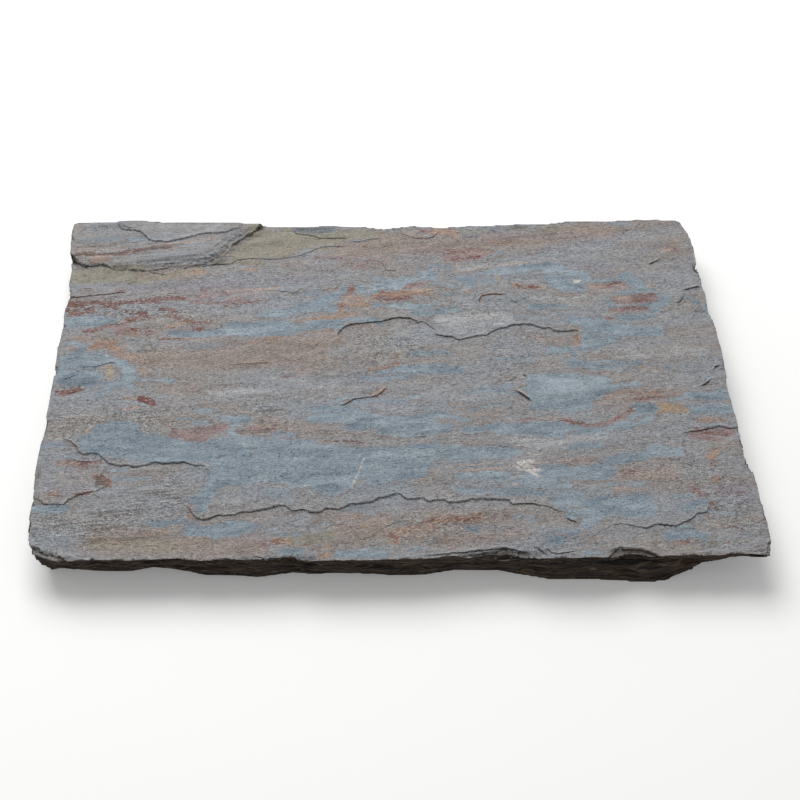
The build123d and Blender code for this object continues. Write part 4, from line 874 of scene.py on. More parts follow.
        (1.2, 0.9, -262, -139, -252, -137, -245, -135), (1.8, 0.7, -284, -137, -277, -140),
        (1.2, 0.8, -265, -104, -248, -103), (1.3, 0.8, 150, -54, 160, -59, 175, -62),
        (1.4, 0.9, 198, -56, 208, -50, 213, -45), (1.8, 0.8, 210, -45, 214, -44),
        (2, 0.8, 272, -70, 282, -73, 292, -72), (2.2, 0.7, 256, -134, 262, -137), (1.6, 0.8, 268, -147, 270, -150),
        (1.5, 0.7, 274, -153, 278, -154), (1, 0.9, 26, -24, 27, -24), (1.8, 0.6, 198, -116, 206, -114),
        (1.2, 0.8, 216, -33, 228, -31, 236, -32), (1.6, 0.6, 186, 136, 190, 137),
        (2.6, 1, -304, 151, -280, 152, -258, 154.5, -238, 158, -215, 163), (1.5, 0.7, -182, 98, -176, 96),
        (1.5, 0.8, -160, 104, -152, 103), (0.8, 0.6, -38, 18, -33, 8, -23, -6, -9, -18),
        (1.4, 0.6, -60, 106, -48, 108), (2.4, 0.7, -52, 151, -46, 149), (1.4, 0.7, -28, 166, -24, 166),
        (2.5, 0.7, -92, -188, -84, -187), (2.4, 0.95, 2.7, -182.5, 7.9, -188),
        (2.2, 0.7, 54, -166, 64, -164.5, 77, -160.6), (2, 0.7, 242, -187, 248, -188), (2, 0.5, 282, -172, 288, -175),
        (1.4, 0.8, -8, 105, -10, 99), (2, 0.6, 52, -162, 62, -164), (1.2, 0.7, -100, 140, -92, 137),
        (1.2, 0.7, -98, 130, -94, 128), (1, 0.7, 95, -88, 104, -87), (1.6, 0.6, 135, 157, 142, 158),
        (1.6, 0.7, -20, -26, -10, -27),
    ],
    "pink": [
        (2.2, 0.75, -306, 157, -285, 159, -262, 161, -242, 165),
        (2.2, 0.8, -240, 163, -215, 167, -190, 172, -162, 174), (1.5, 0.9, -225, 157, -205, 160),
        (3.2, 0.9, -284, 152, -276, 146), (2, 0.7, -308, 190, -300, 192), (1.4, 0.9, -262, 161, -240, 165),
        (3, 0.45, 60, 137, 85, 137, 108, 140, 126, 144), (4, 0.7, 50, 187, 62, 188), (3, 0.6, -232, -30, -224, -31),
        (2, 0.7, -232, -43, -226, -43), (4, 0.6, 265, 165, 276, 172), (4, 0.5, 75, 70, 100, 72),
        (3, 0.6, 186, 112, 205, 107, 214, 106), (4, 0.15, -286, -140, -268, -142, -256, -134),
        (3, 0.6, -40, 92, -34, 100), (4, 0.5, 196, -134, 214, -134), (4, 0.2, 215, 96, 226, 92),
        (3, 0.5, 25, 105, 38, 106), (5, 0.45, 50, -112, 80, -109, 120, -103, 150, -101),
        (6, 0.4, -150, 100, -110, 108), (5, 0.4, 105, -128, 125, -98), (3, 0.5, -55, 152, -20, 158),
        (2, 0.6, -298, -74, -280, -74),
    ],
    "dim": [
        (5, 0.35, -300, 160, -265, 162, -235, 166, -200, 172), (8, 0.4, -230, 150, -200, 152, -175, 160),
        (7, 0.55, -225, 142, -200, 141, -180, 146), (7, 0.3, 110, 176, 150, 178, 195, 184),
        (2.4, 1, -306, 151, -285, 152, -262, 154, -240, 158, -215, 162, -200, 164),
        (0.8, 0.9, -262, 145, -254, 151, -240, 152, -228, 151), (1.2, 0.8, -300, 143, -292, 143.5, -283, 143),
        (1.2, 0.8, -215, 152, -190, 154, -165, 152), (0.9, 0.8, -205, 146, -185, 147, -172, 145),
        (1.4, 0.4, -300, 176, -270, 175, -240, 177, -225, 180), (1, 0.4, -300, 184, -262, 185),
        # the strokes that run along the flake's right rim, from -192, 138 to -124, 190, paint the shade of that
        # broken edge, which faces away from the light
        (0.9, 0.6, -215, 193, -180, 194, -150, 195), (2.2, 0.9, -192, 138, -177, 142, -166, 149, -159, 157),
        (1.4, 0.9, -172, 137, -163, 144, -155, 153, -150, 163),
        (1.6, 0.9, -150, 165, -142, 173, -133, 182, -124, 190), (1, 0.8, -155, 172, -146, 180, -138, 187),
        (3, 0.6, -240, 141, -215, 143, -195, 142), (1, 0.7, -228, 146, -210, 148), (1, 0.6, -192, 164, -170, 166),
        (4, 0.9, -86, 191, -72, 190, -58, 193), (3, 0.6, 118, 195, 132, 196), (2.5, 0.6, 300, -196, 306, -200),
        (2, 0.6, 285, 100, 295, 96), (2, 0.6, 285, 80, 295, 76), (4, 0.5, -215, -130, -190, -136, -168, -146),
        (5, 0.5, -250, -155, -225, -160, -200, -150), (4, 0.5, -280, -165, -255, -170, -235, -168),
        (3, 0.5, -215, -48, -195, -56), (4, 0.6, -292, -190, -284, -196), (3, 0.5, 120, -48, 105, -44),
        (2, 0.6, 262, 58, 250, 55), (3, 0.5, -240, -176, -215, -172), (3, 0.5, -60, -72, -40, -74),
        (2, 0.8, 25, -78, 35, -72), (2, 0.7, 54, -127, 58, -129), (1.2, 0.7, 66, -132, 76, -126),
        (1.2, 0.7, 100, -10, 108, -14), (2, 0.5, 80, 88, 110, 92), (3, 0.5, -115, -44, -95, -46),
        (5, 0.8, -124, -70, -112, -70, -103, -69), (3, 0.85, -245, -122, -240, -126),
        (6, 0.35, -288, -138, -256, -135), (10, 0.3, -240, -188, -205, -190, -170, -190),
        (2, 0.6, -210, 70, -196, 74), (3, 0.5, 205, -4, 215, -6), (3, 0.4, 100, 30, 130, 28),
    ],
    "white": [
        (2.6, 1, 177, 118, 179, 118), (2.2, 1, 112, -105, 116, -108, 120, -109),
        (2, 1, 116, -112, 121, -114, 128, -113), (1.9, 1, 117, -103, 124, -104), (1.9, 1, 123, -116, 127, -120),
        (1.4, 0.9, 110, -110, 113, -113), (1.4, 0.9, 121, -108, 124, -110), (1, 0.8, 120, -94, 123, -94),
        (1.2, 0.95, -256, 22, -254, 20), (0.8, 0.9, -259, 25, -258, 25), (0.8, 0.8, 158, -39, 158.5, -39),
        (0.9, 0.7, -208, -190, -208, -197), (0.8, 0.6, 163, 78, 165, 76), (0.8, 0.6, 168, 86, 170, 88),
        (1, 0.7, -286, -135, -288, -130), (1.2, 0.8, -278, -116, -276, -115), (0.8, 0.8, -2.5, -20.5, -2, -20.5),
        (0.9, 0.6, -200, -71, -199.5, -71), (0.9, 0.85, -74, -123, -68, -132, -62, -140),
        (0.9, 0.95, -20, -100, -25, -116.7, -30, -131.6), (0.7, 0.75, -14, -101, -3, -112),
        (0.7, 0.8, -90, -129, -87, -144), (0.35, 0.62, -33, -130, -37, -142), (0.4, 0.65, -68, -128, -62, -140),
        (1, 0.7, -234, -30, -224, -31), (0.7, 0.95, -215, -33, -213, -34), (0.6, 0.9, -212, -30, -210, -33),
        (0.7, 0.7, 57, -191, 57.5, -191), (0.7, 0.7, -71, -164, -70.5, -164), (1, 0.6, -52, -82, -51, -88),
    ],
    "dark": [
        # the thin lines along the flake's right rim paint the shadow under its broken edge
        (0.9, 0.75, -306, 150, -285, 151, -262, 153, -240, 157), (0.7, 0.8, -150, 167, -145, 174, -139, 181),
        (0.9, 0.95, -139, 181, -132, 188, -127, 193), (1.3, 1, -129, 191, -124, 196),
        (1.2, 0.7, -192, 137, -180, 140, -170, 146, -163, 151), (0.8, 0.6, -186, 143, -174, 148, -166, 154),
        # these sit in chips of the left rim and paint their shade
        (1.2, 0.9, -309, 176, -306, 173), (1.4, 0.9, -308, 153, -305, 149), (1.4, 1, -300, 96, -296, 97),
        (1.3, 0.9, -240.5, 66, -238, 65), (0.9, 0.8, -264, 85, -260, 84), (1.2, 0.8, -284, -25, -277, -23),
        (0.5, 0.7, -257, 2, -249, -10), (0.4, 0.85, -84, -74, -83, -90), (0.35, 0.85, -83, -90, -80, -105, -77, -121),
        (1, 0.95, 122, -3, 123, -4), (2.4, 0.4, -214, -30, -206, -38), (0.9, 0.85, 84, 152, 88, 153),
        (0.7, 0.8, 111, -188, 112.5, -188.5), (0.8, 0.8, -39, -44.5, -38, -44.5), (0.8, 0.8, 2, -33.5, 4, -34),
        # the broad stroke at the front left corner paints the shade among its chips
        (0.6, 0.6, 26, -77, 34, -72), (3, 0.5, -290, -208, -262, -206), (0.6, 0.6, -127, 106, -125, 106),
        (1, 0.6, -78, 116, -76, 118), (0.8, 0.6, -7, 15, -6, 15), (0.45, 0.6, -112, 11, -103, 12, -96, 11),
        (0.8, 0.8, 256, -50, 257, -50), (0.5, 0.6, 247, 146, 250, 148), (1, 0.8, 291, 126, 292, 127),
        # these lines along the plates at the front arris paint the shadow under their edges
        (0.9, 0.9, 54, -202.2, 66, -200.4, 76, -199.2, 88, -197.6, 96, -197.6, 107, -199.8),
        (0.9, 0.9, 120, -192.5, 124.5, -195.6, 130, -200.5),
        (0.7, 0.8, 131, -195, 134, -199, 142, -199.6, 150, -198.3), (0.8, 0.8, -145, -123, -143, -124),
        (0.9, 0.7, -246, -119, -242, -123), (0.6, 0.7, 207, 130, 208, 130), (0.6, 0.7, 214, 128, 215, 128),
        (0.7, 0.7, 197, 131, 198, 131), (0.5, 0.7, 268, 184, 270, 185), (0.5, 0.7, 280, 181, 282, 183),
        (0.4, 0.8, -166, -150, -172, -149), (0.5, 0.7, -178, -130, -170, -130), (0.6, 0.7, 66, 92, 68, 88),
        (0.6, 0.8, 118, 96, 120, 92), (0.5, 0.8, 44, 3, 46, 3), (0.6, 0.8, 247, 180, 250, 182),
        (0.6, 0.8, 256, 185, 258, 185), (0.6, 0.8, 264, 184, 266, 185), (0.6, 0.8, 269, 186, 271, 186),
        (0.6, 0.8, 275, 179, 277, 179), (0.5, 0.8, 12, 134, 14, 135), (0.5, 0.8, 17, 134, 19, 135),
        (0.5, 0.8, 22, 135, 24, 136), (0.7, 0.7, -270, -195, -268, -194), (0.45, 0.6, 160, 19, 164, 20, 162, 27),
        (0.7, 0.7, -86, -94, -85, -97), (0.5, 0.6, -96, -121, -92, -122),
    ],
    "redSpot": [
        (3.8, 1, -218, -32, -213, -33, -209, -36), (2.2, 1, -210, -36, -206, -38), (2, 0.9, -220, -30, -216, -30),
    ],
    "coarse": [
        (16, 0.8, -285, -170, -250, -172, -210, -165, -180, -150), (14, 0.8, -280, -60, -240, -50, -200, -56),
        (14, 0.8, 250, -100, 280, -130, 290, -160), (12, 1, -20, 40, 20, 32, -10, 20),
        (14, 0.8, -270, 80, -220, 80, -180, 70), (12, 0.6, -180, -125, -170, -140),
        (14, 0.6, 110, 0, 100, 40, 130, 45), (12, 0.7, 60, 80, 90, 72), (12, 0.7, -110, -45, -90, -62),
        (12, 0.6, 210, -110, 240, -112), (10, 0.6, -215, 30, -222, 5), (12, 0.6, 20, -170, 90, -170),
    ],
}
# smooth places, where the grain is weak, as strokes too
calm = [
    (13, 1, -290, 124, -245, 124), (15, 1, -135, 182, -80, 172), (10, 0.9, -60, 182, -20, 184),
    (9, 0.8, -150, 152, -110, 158), (14, 0.4, 140, -10, 185, -14), (12, 0.4, 50, 68, 100, 68),
]
# how softly each stain ends, mm
soft = {
    "brown": 8.0, "olive": 4.0, "pale": 5.0, "plum": 7.0, "haze": 9.0, "blue": 3.0, "deep": 3.4, "light": 5.0,
    "mauve": 2.2, "orange": 2.8, "ochre": 2.8, "rust": 2.2, "pink": 2.6, "dim": 1.6, "white": 1.2, "dark": 1.0,
    "redSpot": 1.2, "coarse": 10.0,
}
# dark is partly painted shadow
sharp = ("white", "dark", "redSpot")  # stains that aren't ragged

# where each mask starts and where it is full: heights are mm below the face, the rest is how far a normal points up
masks = {
    "stained": (0.1, 0.5),
    "steep": (0.35, 0.75),
    "outer": (0.3, 1.5),  # below: a steep place is a broken edge, and above it a step of the face
    "deep": (3.0, 5.5), "deepUp": (0.75, 0.5),
    "deepest": (6.5, 9.0), "deepestUp": (-0.85, -0.6),
    "chipped": (2.6, 5.0), "chippedUp": (0.2, 0.5),
    "under": (0.3, 0.8), "underHeight": (7, 5),
    "ledgeEnd": (-0.5, 5),  # mm from the end of a ledge line
}
ledgeWidth = 5  # a ledge colours the stone this far from its line, mm


def coverage(points, rows, softness):
    # half of a stroke's strength on its outline, rising to its strength inside, and 0 outside
    cover = np.zeros(len(points))
    for halfWidth, strength, *numbers in rows:
        line = pointsOf(numbers)
        chosen = nearBox(points, line, halfWidth + softness)
        distance = nearestOnLine(points[chosen], line)[0]
        value = strength * np.clip(0.5 + (halfWidth - distance) / (2 * softness), 0, 1)
        cover[chosen] = np.maximum(cover[chosen], value)
    return cover


def setAttribute(mesh, name, values):
    attribute = mesh.attributes.new(name, "FLOAT", "POINT")
    attribute.data.foreach_set("value", values.astype(np.float32))


def paintStainsAndShade(mesh, points, upward):
    warped = points.copy()
    warped[:, 0] += noiseAt(points, "stainX") + noiseAt(points, "stainFineX")
    warped[:, 1] += noiseAt(points, "stainY") + noiseAt(points, "stainFineY")
    onFace = smoothStep(*masks["stained"], upward)
    for name, rows in stainsAndShade.items():
        cover = coverage(points if name in sharp else warped, rows, soft[name])
        if name == "coarse":
            cover -= 0.6 * np.maximum(onFlake(points), coverage(points, calm, soft[name]))
        setAttribute(mesh, name, cover * onFace)
    print("stains painted")


def paintEdges(mesh, points, upward):
    # masks of the broken edges, of the steps on the face, of the chips and of the underside
    steep = 1 - smoothStep(*masks["steep"], np.abs(upward))
    below = slab["face"] - points[:, 2]
    outer = smoothStep(*masks["outer"], below)
    deep = smoothStep(*masks["deep"], below) * smoothStep(*masks["deepUp"], upward)
    deep = np.maximum(deep, smoothStep(*masks["deepest"], below)) * smoothStep(*masks["deepestUp"], upward)
    chipMask = smoothStep(*masks["chipped"], below) * smoothStep(*masks["chippedUp"], upward)
    under = smoothStep(*masks["under"], -upward) * smoothStep(*masks["underHeight"], points[:, 2])
    setAttribute(mesh, "edge", np.maximum(steep * outer, deep))
    setAttribute(mesh, "scarp", steep * (1 - outer))
    setAttribute(mesh, "chipped", chipMask)
    setAttribute(mesh, "underside", under)


def paintLedges(mesh, points, upward):
    # ledge: signed distance to the nearest ledge line; ledgeShade: how dark it is there
    shifted = jagged(points)
    nearest = np.full(len(points), float(ledgeWidth))
    signed = nearest.copy()
    shade = np.zeros(len(points))
    for _, shades, broad, *numbers in ledges:
        line = pointsOf(numbers)
        chosen = nearBox(points, line, ledgeWidth, upward > -0.2)
        distance, side, share, fromEnd, _ = nearestOnLine(shifted[chosen], line)
        closer = distance < nearest[chosen]
        ids = chosen[closer]
        nearest[ids] = distance[closer]
        signed[ids] = (distance * side)[closer] / spread(broad, share[closer])
        shade[ids] = spread(shades, share[closer]) * smoothStep(*masks["ledgeEnd"], fromEnd[closer])
    setAttribute(mesh, "ledge", signed)
    setAttribute(mesh, "ledgeShade", shade)
    print("edges and ledges painted")


# Riven slate: split by hand along its cleavage and never polished, so it is matt, with a fine grain that
# runs one way. Iron in it weathers to rust, ochre and plum, and fresher laminae show blue-grey.

slate = {
    # size along the grain, across it and upright in mm, detail, roughness, distortion
    "patterns": {
        "grit": (1.05, 0.95, 1.0, 1.0, 0.5, 0.0),
        "dash": (4.2, 1.15, 3.0, 2.0, 0.6, 0.2),
        "streak": (26.0, 2.6, 6.0, 4.0, 0.6, 0.0),
        "patch": (30.0, 9.0, 20.0, 3.0, 0.6, 0.5),
        "mottle": (95.0, 28.0, 50.0, 2.0, 0.5, 0.0),
        "blotch": (13.0, 4.6, 9.0, 4.0, 0.7, 0.4),
        "wrinkle": (34.0, 7.0, 20.0, 4.0, 0.55, 0.6),
        "ragged": (10.0, 3.6, 5.0, 5.0, 0.75, 0.5),
        "lamina": (80.0, 2.4, 12.0, 2.0, 0.5, 0.5),
        "fleck": (2.8, 1.5, 2.0, 2.0, 0.7, 0.0),
        "pit": (2.3, 1.4, 2.0, 1.0, 0.5, 0.0),
        "strata": (40.0, 40.0, 1.5, 5.0, 0.65, 0.3),
        "strataFine": (14.0, 14.0, 0.8, 3.0, 0.6, 0.0),
    },
    "apart": (0.37, 0.23, 0.11),  # each pattern reads its noise this much further on, m
    # attribute: two colours, where it starts, where it is full, opacity, share of the ragged and fleck noises
    "stainsAndShade": {
        "brown": ("#8c7e76", "#a1938b", 0.12, 0.70, 0.85, 0.40, 0.12),
        "olive": ("#888477", "#9f9889", 0.35, 0.65, 0.90, 0.25, 0.25),
        "pale": ("#a1a2a5", "#b5b7ba", 0.25, 0.85, 0.85, 0.45, 0.18),
        "plum": ("#817b84", "#938f9c", 0.28, 0.75, 0.75, 0.45, 0.18),
        "haze": ("#7f8994", "#99a3ac", 0.15, 0.80, 0.70, 0.35, 0.10),
        "blue": ("#778794", "#9ba8b1", 0.36, 0.62, 0.92, 0.45, 0.15),
        "deep": ("#67747f", "#76848f", 0.32, 0.70, 0.80, 0.40, 0.25),
        "light": ("#929fa9", "#a6b2bb", 0.30, 0.75, 0.80, 0.40, 0.10),
        "mauve": ("#836c68", "#9e8583", 0.34, 0.64, 0.82, 0.40, 0.30),
        "orange": ("#987764", "#b3957e", 0.28, 0.78, 0.80, 0.45, 0.25),
        "ochre": ("#a18a70", "#bba07e", 0.32, 0.76, 0.80, 0.35, 0.22),
        "rust": ("#664640", "#8a6255", 0.29, 0.72, 0.87, 0.45, 0.50),
        "pink": ("#a8928a", "#bda89c", 0.30, 0.72, 0.85, 0.75, 0.15),
        # dim and dark: dark marks of the stone, and in places painted shade and shadow along rims, chips and plates
        "dim": ("#595653", "#6e6b68", 0.40, 0.85, 0.70, 0.65, 0.10),
        "dark": ("#35302e", "#3d3836", 0.35, 0.70, 0.90, 0.10, 0.20),
        "redSpot": ("#522722", "#6e3a30", 0.40, 0.60, 1.00, 0.05, 0.10),
        "white": ("#bdbab4", "#d6d3cc", 0.42, 0.75, 0.85, 0.20, 0.30),
    },
    "laminar": ("pink", "dim"),  # stains that lie in thin laminae
    # drifts of colour in the ground: pattern, where it starts, where it is full, colour, opacity
    "drifts": [
        ("blotch", 0.2, 1.0, "#928783", 0.50), ("blotch", -0.1, -0.9, "#a9a8a8", 0.60),
        ("patch", 0.2, 1.0, "#7b7877", 0.50), ("patch", -0.4, -1.1, "#8a959f", 0.50),
        ("streak", 0.4, 1.2, "#726c69", 0.50), ("streak", -0.4, -1.2, "#b2afac", 0.45),
        ("ragged", 0.8, 1.3, "#9a8675", 0.35),
    ],
    # dark and pale flecks, given the same way
    "flecks": [("fleck", 0.2, 0.9, "#605b58", 0.65), ("fleck", -0.25, -1.0, "#c0bdb8", 0.45)],
    # how much each pattern lightens and darkens the face
    "shading": {"grit": 0.30, "dash": 0.24, "streak": 0.09, "patch": 0.04, "ragged": 0.10},
    # how high each pattern stands in the bump of the face, and what the broken edges add to it
    "faceBump": {"grit": 0.10, "dash": 0.14, "fleck": 0.10, "ragged": 0.10},
    "edgeBump": {"strata": 0.6, "strataFine": 0.3},
    "bump": 1.0,  # mm
    # where an effect starts and where it is full, and what it is at each where that isn't 0 and 1
    "ramps": {
        "pattern": (0.28, 0.72, -1.0, 1.0),
        "warmth": (-0.8, 0.8),
        "stained": (0.02, 0.12),  # no stain where its stroke doesn't reach
        "seamRise": (0.1, 0.45),
        "seamy": (-0.4, 0.7, 0.0, 0.6),
        "calm": (0.0, 1.0, 1.0, 0.6),  # fewer flecks on a blue lamina
        "soften": (0.0, 1.0, 1.0, 0.85),  # and a weaker grain
        "pits": (0.6, 1.1, 1.0, 0.35),
        "wrinkle": (0.024, 0.006),
        "broken": (-0.1, 0.5, 0.0, 0.65),
        "ledgeRise": (-0.48, -0.14),  # this and the next four are mm from a ledge line
        "ledgeFall": (-0.06, 0.18, 1.0, 0.0),
        "before": (-3.0, -0.6, 0.0, 0.12),
        "behind": (0.3, 0.8),
        "behindEnd": (0.9, 1.9, 0.16, 0.0),
        "uneven": (-0.9, 0.3, 0.55, 1.0),  # breaks up its dark line
        "strata": (-0.3, 0.45),
        "strataPale": (0.2, 1.0, 0.0, 0.8),
        "edge": (0.3, 0.6),
    },
    # how much of a pattern or a mask is added to something else
    "shares": {
        "drift": 0.35,  # streaks, to the long drifts of warm and cool
        "coarse": 0.7,  # the coarse mask, to the flecks and wrinkles
        "wander": 0.28,  # flecks, to the distance from a ledge, mm
        "edge": 0.1,  # flecks, to the mask of the broken edges
        "rough": 0.06,  # grit, to the roughness
    },
    "wrinkleEvery": 0.16,  # one wrinkle for each such rise of its pattern
    "warm": "#97928f",
    "cool": "#94989e",
    "seam": "#7a5f54",  # iron along the rim of a blue lamina
    # the dark line at a ledge's foot: its broken edge and the painted shadow under it
    "crackAndShadow": "#2b2725",
    # the broken edges' own dark brown, with painted shade in the darkest and painted highlights on the palest strata
    "edgeDark": "#120e0c",
    "edgeMid": "#605145",
    "edgeLight": "#b09b84",
    # attribute, colour and opacity of what is bare or dusty
    "bare": [("chipped", "#68625d", 0.6), ("underside", "#8a7f77", 0.5)],
    # the steps of the face take some of the edges' colour, with its painted shade
    "scarp": 0.35,  # how much of the edge's colour the steps of the face have
    "roughness": 0.8,
    "specular": 0.3,
    "ior": 1.5,
    "redSmooth": 0.35,  # how much smoother a red spot is
}


def rivenSlate():
    material = bpy.data.materials.new("rivenSlate")
    material.use_nodes = True
    tree = material.node_tree
    tree.nodes.clear()
    maths, mix, ramp, attribute = "ShaderNodeMath", "ShaderNodeMix", "ShaderNodeMapRange", "ShaderNodeAttribute"
    smooth = {"interpolation_type": "SMOOTHSTEP"}
    rgba = {"out": 2, "data_type": "RGBA"}  # a mix of two colours
    ends = ("From Min", "From Max", "To Min", "To Max")
    limits = {name: dict(zip(ends, row)) for name, row in slate["ramps"].items()}
    shares = slate["shares"]
    colour = {name: linearColour(value) for name, value in slate.items() if str(value).startswith("#")}

    place = addNode(tree, "ShaderNodeTexCoord", out="Object")
    grain = {}  # each pattern as a value from about -1 to 1
    for number, (name, sizes) in enumerate(slate["patterns"].items()):
        turned = addNode(tree, "ShaderNodeMapping", {
            "Vector": place, "Location": [step * number for step in slate["apart"]],
            "Rotation": (0, 0, math.radians(relief["grainTurn"])), "Scale": [size * mm for size in sizes[:3]],
        }, vector_type="TEXTURE")
        noisy = addNode(tree, "ShaderNodeTexNoise", {
            "Vector": turned, "Scale": 1.0, "Detail": sizes[3], "Roughness": sizes[4], "Distortion": sizes[5],
        })
        grain[name] = addNode(tree, ramp, {"Value": noisy, **limits["pattern"]}, clamp=False)

    # ground: warm and cool greys in long drifts
    drift = {0: grain["streak"], 1: shares["drift"], 2: grain["mottle"]}
    drift = addNode(tree, maths, drift, operation="MULTIPLY_ADD")
    warmth = addNode(tree, ramp, {"Value": drift, **limits["warmth"]}, **smooth)
    shown = addNode(tree, mix, {0: warmth, 6: colour["warm"], 7: colour["cool"]}, **rgba)
    for name, start, full, hexColour, amount in slate["drifts"]:
        drifting = {"Value": grain[name], "From Min": start, "From Max": full, "To Max": amount}
        strength = addNode(tree, ramp, drifting, **smooth)
        shown = addNode(tree, mix, {0: strength, 6: shown, 7: linearColour(hexColour)}, **rgba)

    # stains, each torn at its rim by the ragged and fleck noises
    factors = {}
    tone = addNode(tree, ramp, {"Value": grain["patch"], **limits["warmth"]})
    for name, (first, second, start, full, opacity, ragged, fleck) in slate["stainsAndShade"].items():
        cover = addNode(tree, attribute, out="Fac", attribute_name=name)
        torn = grain["lamina" if name in slate["laminar"] else "ragged"]
        level = addNode(tree, maths, {0: torn, 1: ragged, 2: cover}, operation="MULTIPLY_ADD")
        level = addNode(tree, maths, {0: grain["fleck"], 1: fleck, 2: level}, operation="MULTIPLY_ADD")
        here = addNode(tree, ramp, {"Value": cover, **limits["stained"]})
        level = addNode(tree, maths, {0: level, 1: here}, operation="MULTIPLY")
        if name == "blue":
            rise = addNode(tree, ramp, {"Value": level, **limits["seamRise"]}, **smooth)
            seamy = addNode(tree, ramp, {"Value": grain["patch"], **limits["seamy"]})
            seam = addNode(tree, maths, {0: rise, 1: seamy}, operation="MULTIPLY")
            shown = addNode(tree, mix, {0: seam, 6: shown, 7: colour["seam"]}, **rgba)
        opaque = {"Value": level, "From Min": start, "From Max": full, "To Max": opacity}
        factor = addNode(tree, ramp, opaque, **smooth)
        paint = addNode(tree, mix, {0: tone, 6: linearColour(first), 7: linearColour(second)}, **rgba)
        shown = addNode(tree, mix, {0: factor, 6: shown, 7: paint}, **rgba)
        factors[name] = factor

    # flecks, fewer where a blue lamina is bare
    coarse = addNode(tree, attribute, out="Fac", attribute_name="coarse")
    strength = addNode(tree, maths, {0: coarse, 1: shares["coarse"], 2: 1.0}, operation="MULTIPLY_ADD")
    bare = addNode(tree, ramp, {"Value": factors["blue"], **limits["calm"]})
    bare = addNode(tree, maths, {0: bare, 1: strength}, operation="MULTIPLY")
    for name, start, full, hexColour, amount in slate["flecks"]:
        speckled = {"Value": grain[name], "From Min": start, "From Max": full, "To Max": amount}
        flecked = addNode(tree, maths, {0: addNode(tree, ramp, speckled), 1: bare}, operation="MULTIPLY")
        shown = addNode(tree, mix, {0: flecked, 6: shown, 7: linearColour(hexColour)}, **rgba)

    # light and dark of the grain, stronger where the face is coarse, then pits and thin broken wrinkles, dark lines
    # that paint the shade of tiny lamina edges
    shade = 0.0
    for name, amount in slate["shading"].items():
        shade = addNode(tree, maths, {0: grain[name], 1: amount, 2: shade}, operation="MULTIPLY_ADD")
    soften = addNode(tree, ramp, {"Value": factors["blue"], **limits["soften"]})
    soften = addNode(tree, maths, {0: soften, 1: strength}, operation="MULTIPLY")
    shade = addNode(tree, maths, {0: shade, 1: soften, 2: 1.0}, operation="MULTIPLY_ADD")
    pits = addNode(tree, ramp, {"Value": grain["pit"], **limits["pits"]})
    wrinkle = addNode(tree, maths, {0: grain["wrinkle"], 1: slate["wrinkleEvery"]}, operation="PINGPONG")
    thin = addNode(tree, ramp, {"Value": wrinkle, **limits["wrinkle"]})
    patchy = addNode(tree, maths, {0: coarse, 1: shares["coarse"], 2: grain["blotch"]}, operation="MULTIPLY_ADD")
    broken = addNode(tree, ramp, {"Value": patchy, **limits["broken"]})
    thin = addNode(tree, maths, {0: thin, 1: broken}, operation="MULTIPLY")
    thin = addNode(tree, maths, {0: 1.0, 1: thin}, operation="SUBTRACT")
    for darker in (pits, thin):
        shade = addNode(tree, maths, {0: shade, 1: darker}, operation="MULTIPLY")

    # ledges: a thin dark line at the foot of each, its broken edge with a painted shadow; before it a darker band,
    # dirt and painted shade; behind it a pale rim, partly worn and partly a painted highlight
    ledgeAt = addNode(tree, attribute, out="Fac", attribute_name="ledge")
    ledgeShade = addNode(tree, attribute, out="Fac", attribute_name="ledgeShade")
    wander = addNode(tree, maths, {0: grain["fleck"], 1: shares["wander"], 2: ledgeAt}, operation="MULTIPLY_ADD")
    crackAndShadow = addNode(tree, ramp, {"Value": wander, **limits["ledgeRise"]}, **smooth)
    falls = addNode(tree, ramp, {"Value": wander, **limits["ledgeFall"]}, **smooth)
    uneven = addNode(tree, ramp, {"Value": grain["dash"], **limits["uneven"]})
    for factor in (falls, ledgeShade, uneven):
        crackAndShadow = addNode(tree, maths, {0: crackAndShadow, 1: factor}, operation="MULTIPLY")
    before = addNode(tree, ramp, {"Value": wander, **limits["before"]})
    for factor in (falls, ledgeShade):
        before = addNode(tree, maths, {0: before, 1: factor}, operation="MULTIPLY")
    behind = addNode(tree, ramp, {"Value": wander, **limits["behind"]}, **smooth)
    behindEnd = addNode(tree, ramp, {"Value": wander, **limits["behindEnd"]})
    for factor in (behindEnd, ledgeShade):
        behind = addNode(tree, maths, {0: behind, 1: factor}, operation="MULTIPLY")
    shade = addNode(tree, maths, {0: shade, 1: behind}, operation="ADD")
    shade = addNode(tree, maths, {0: shade, 1: before}, operation="SUBTRACT")
    shown = addNode(tree, "ShaderNodeVectorMath", {0: shown, 3: shade}, operation="SCALE")
    shown = addNode(tree, mix, {0: crackAndShadow, 6: shown, 7: colour["crackAndShadow"]}, **rgba)

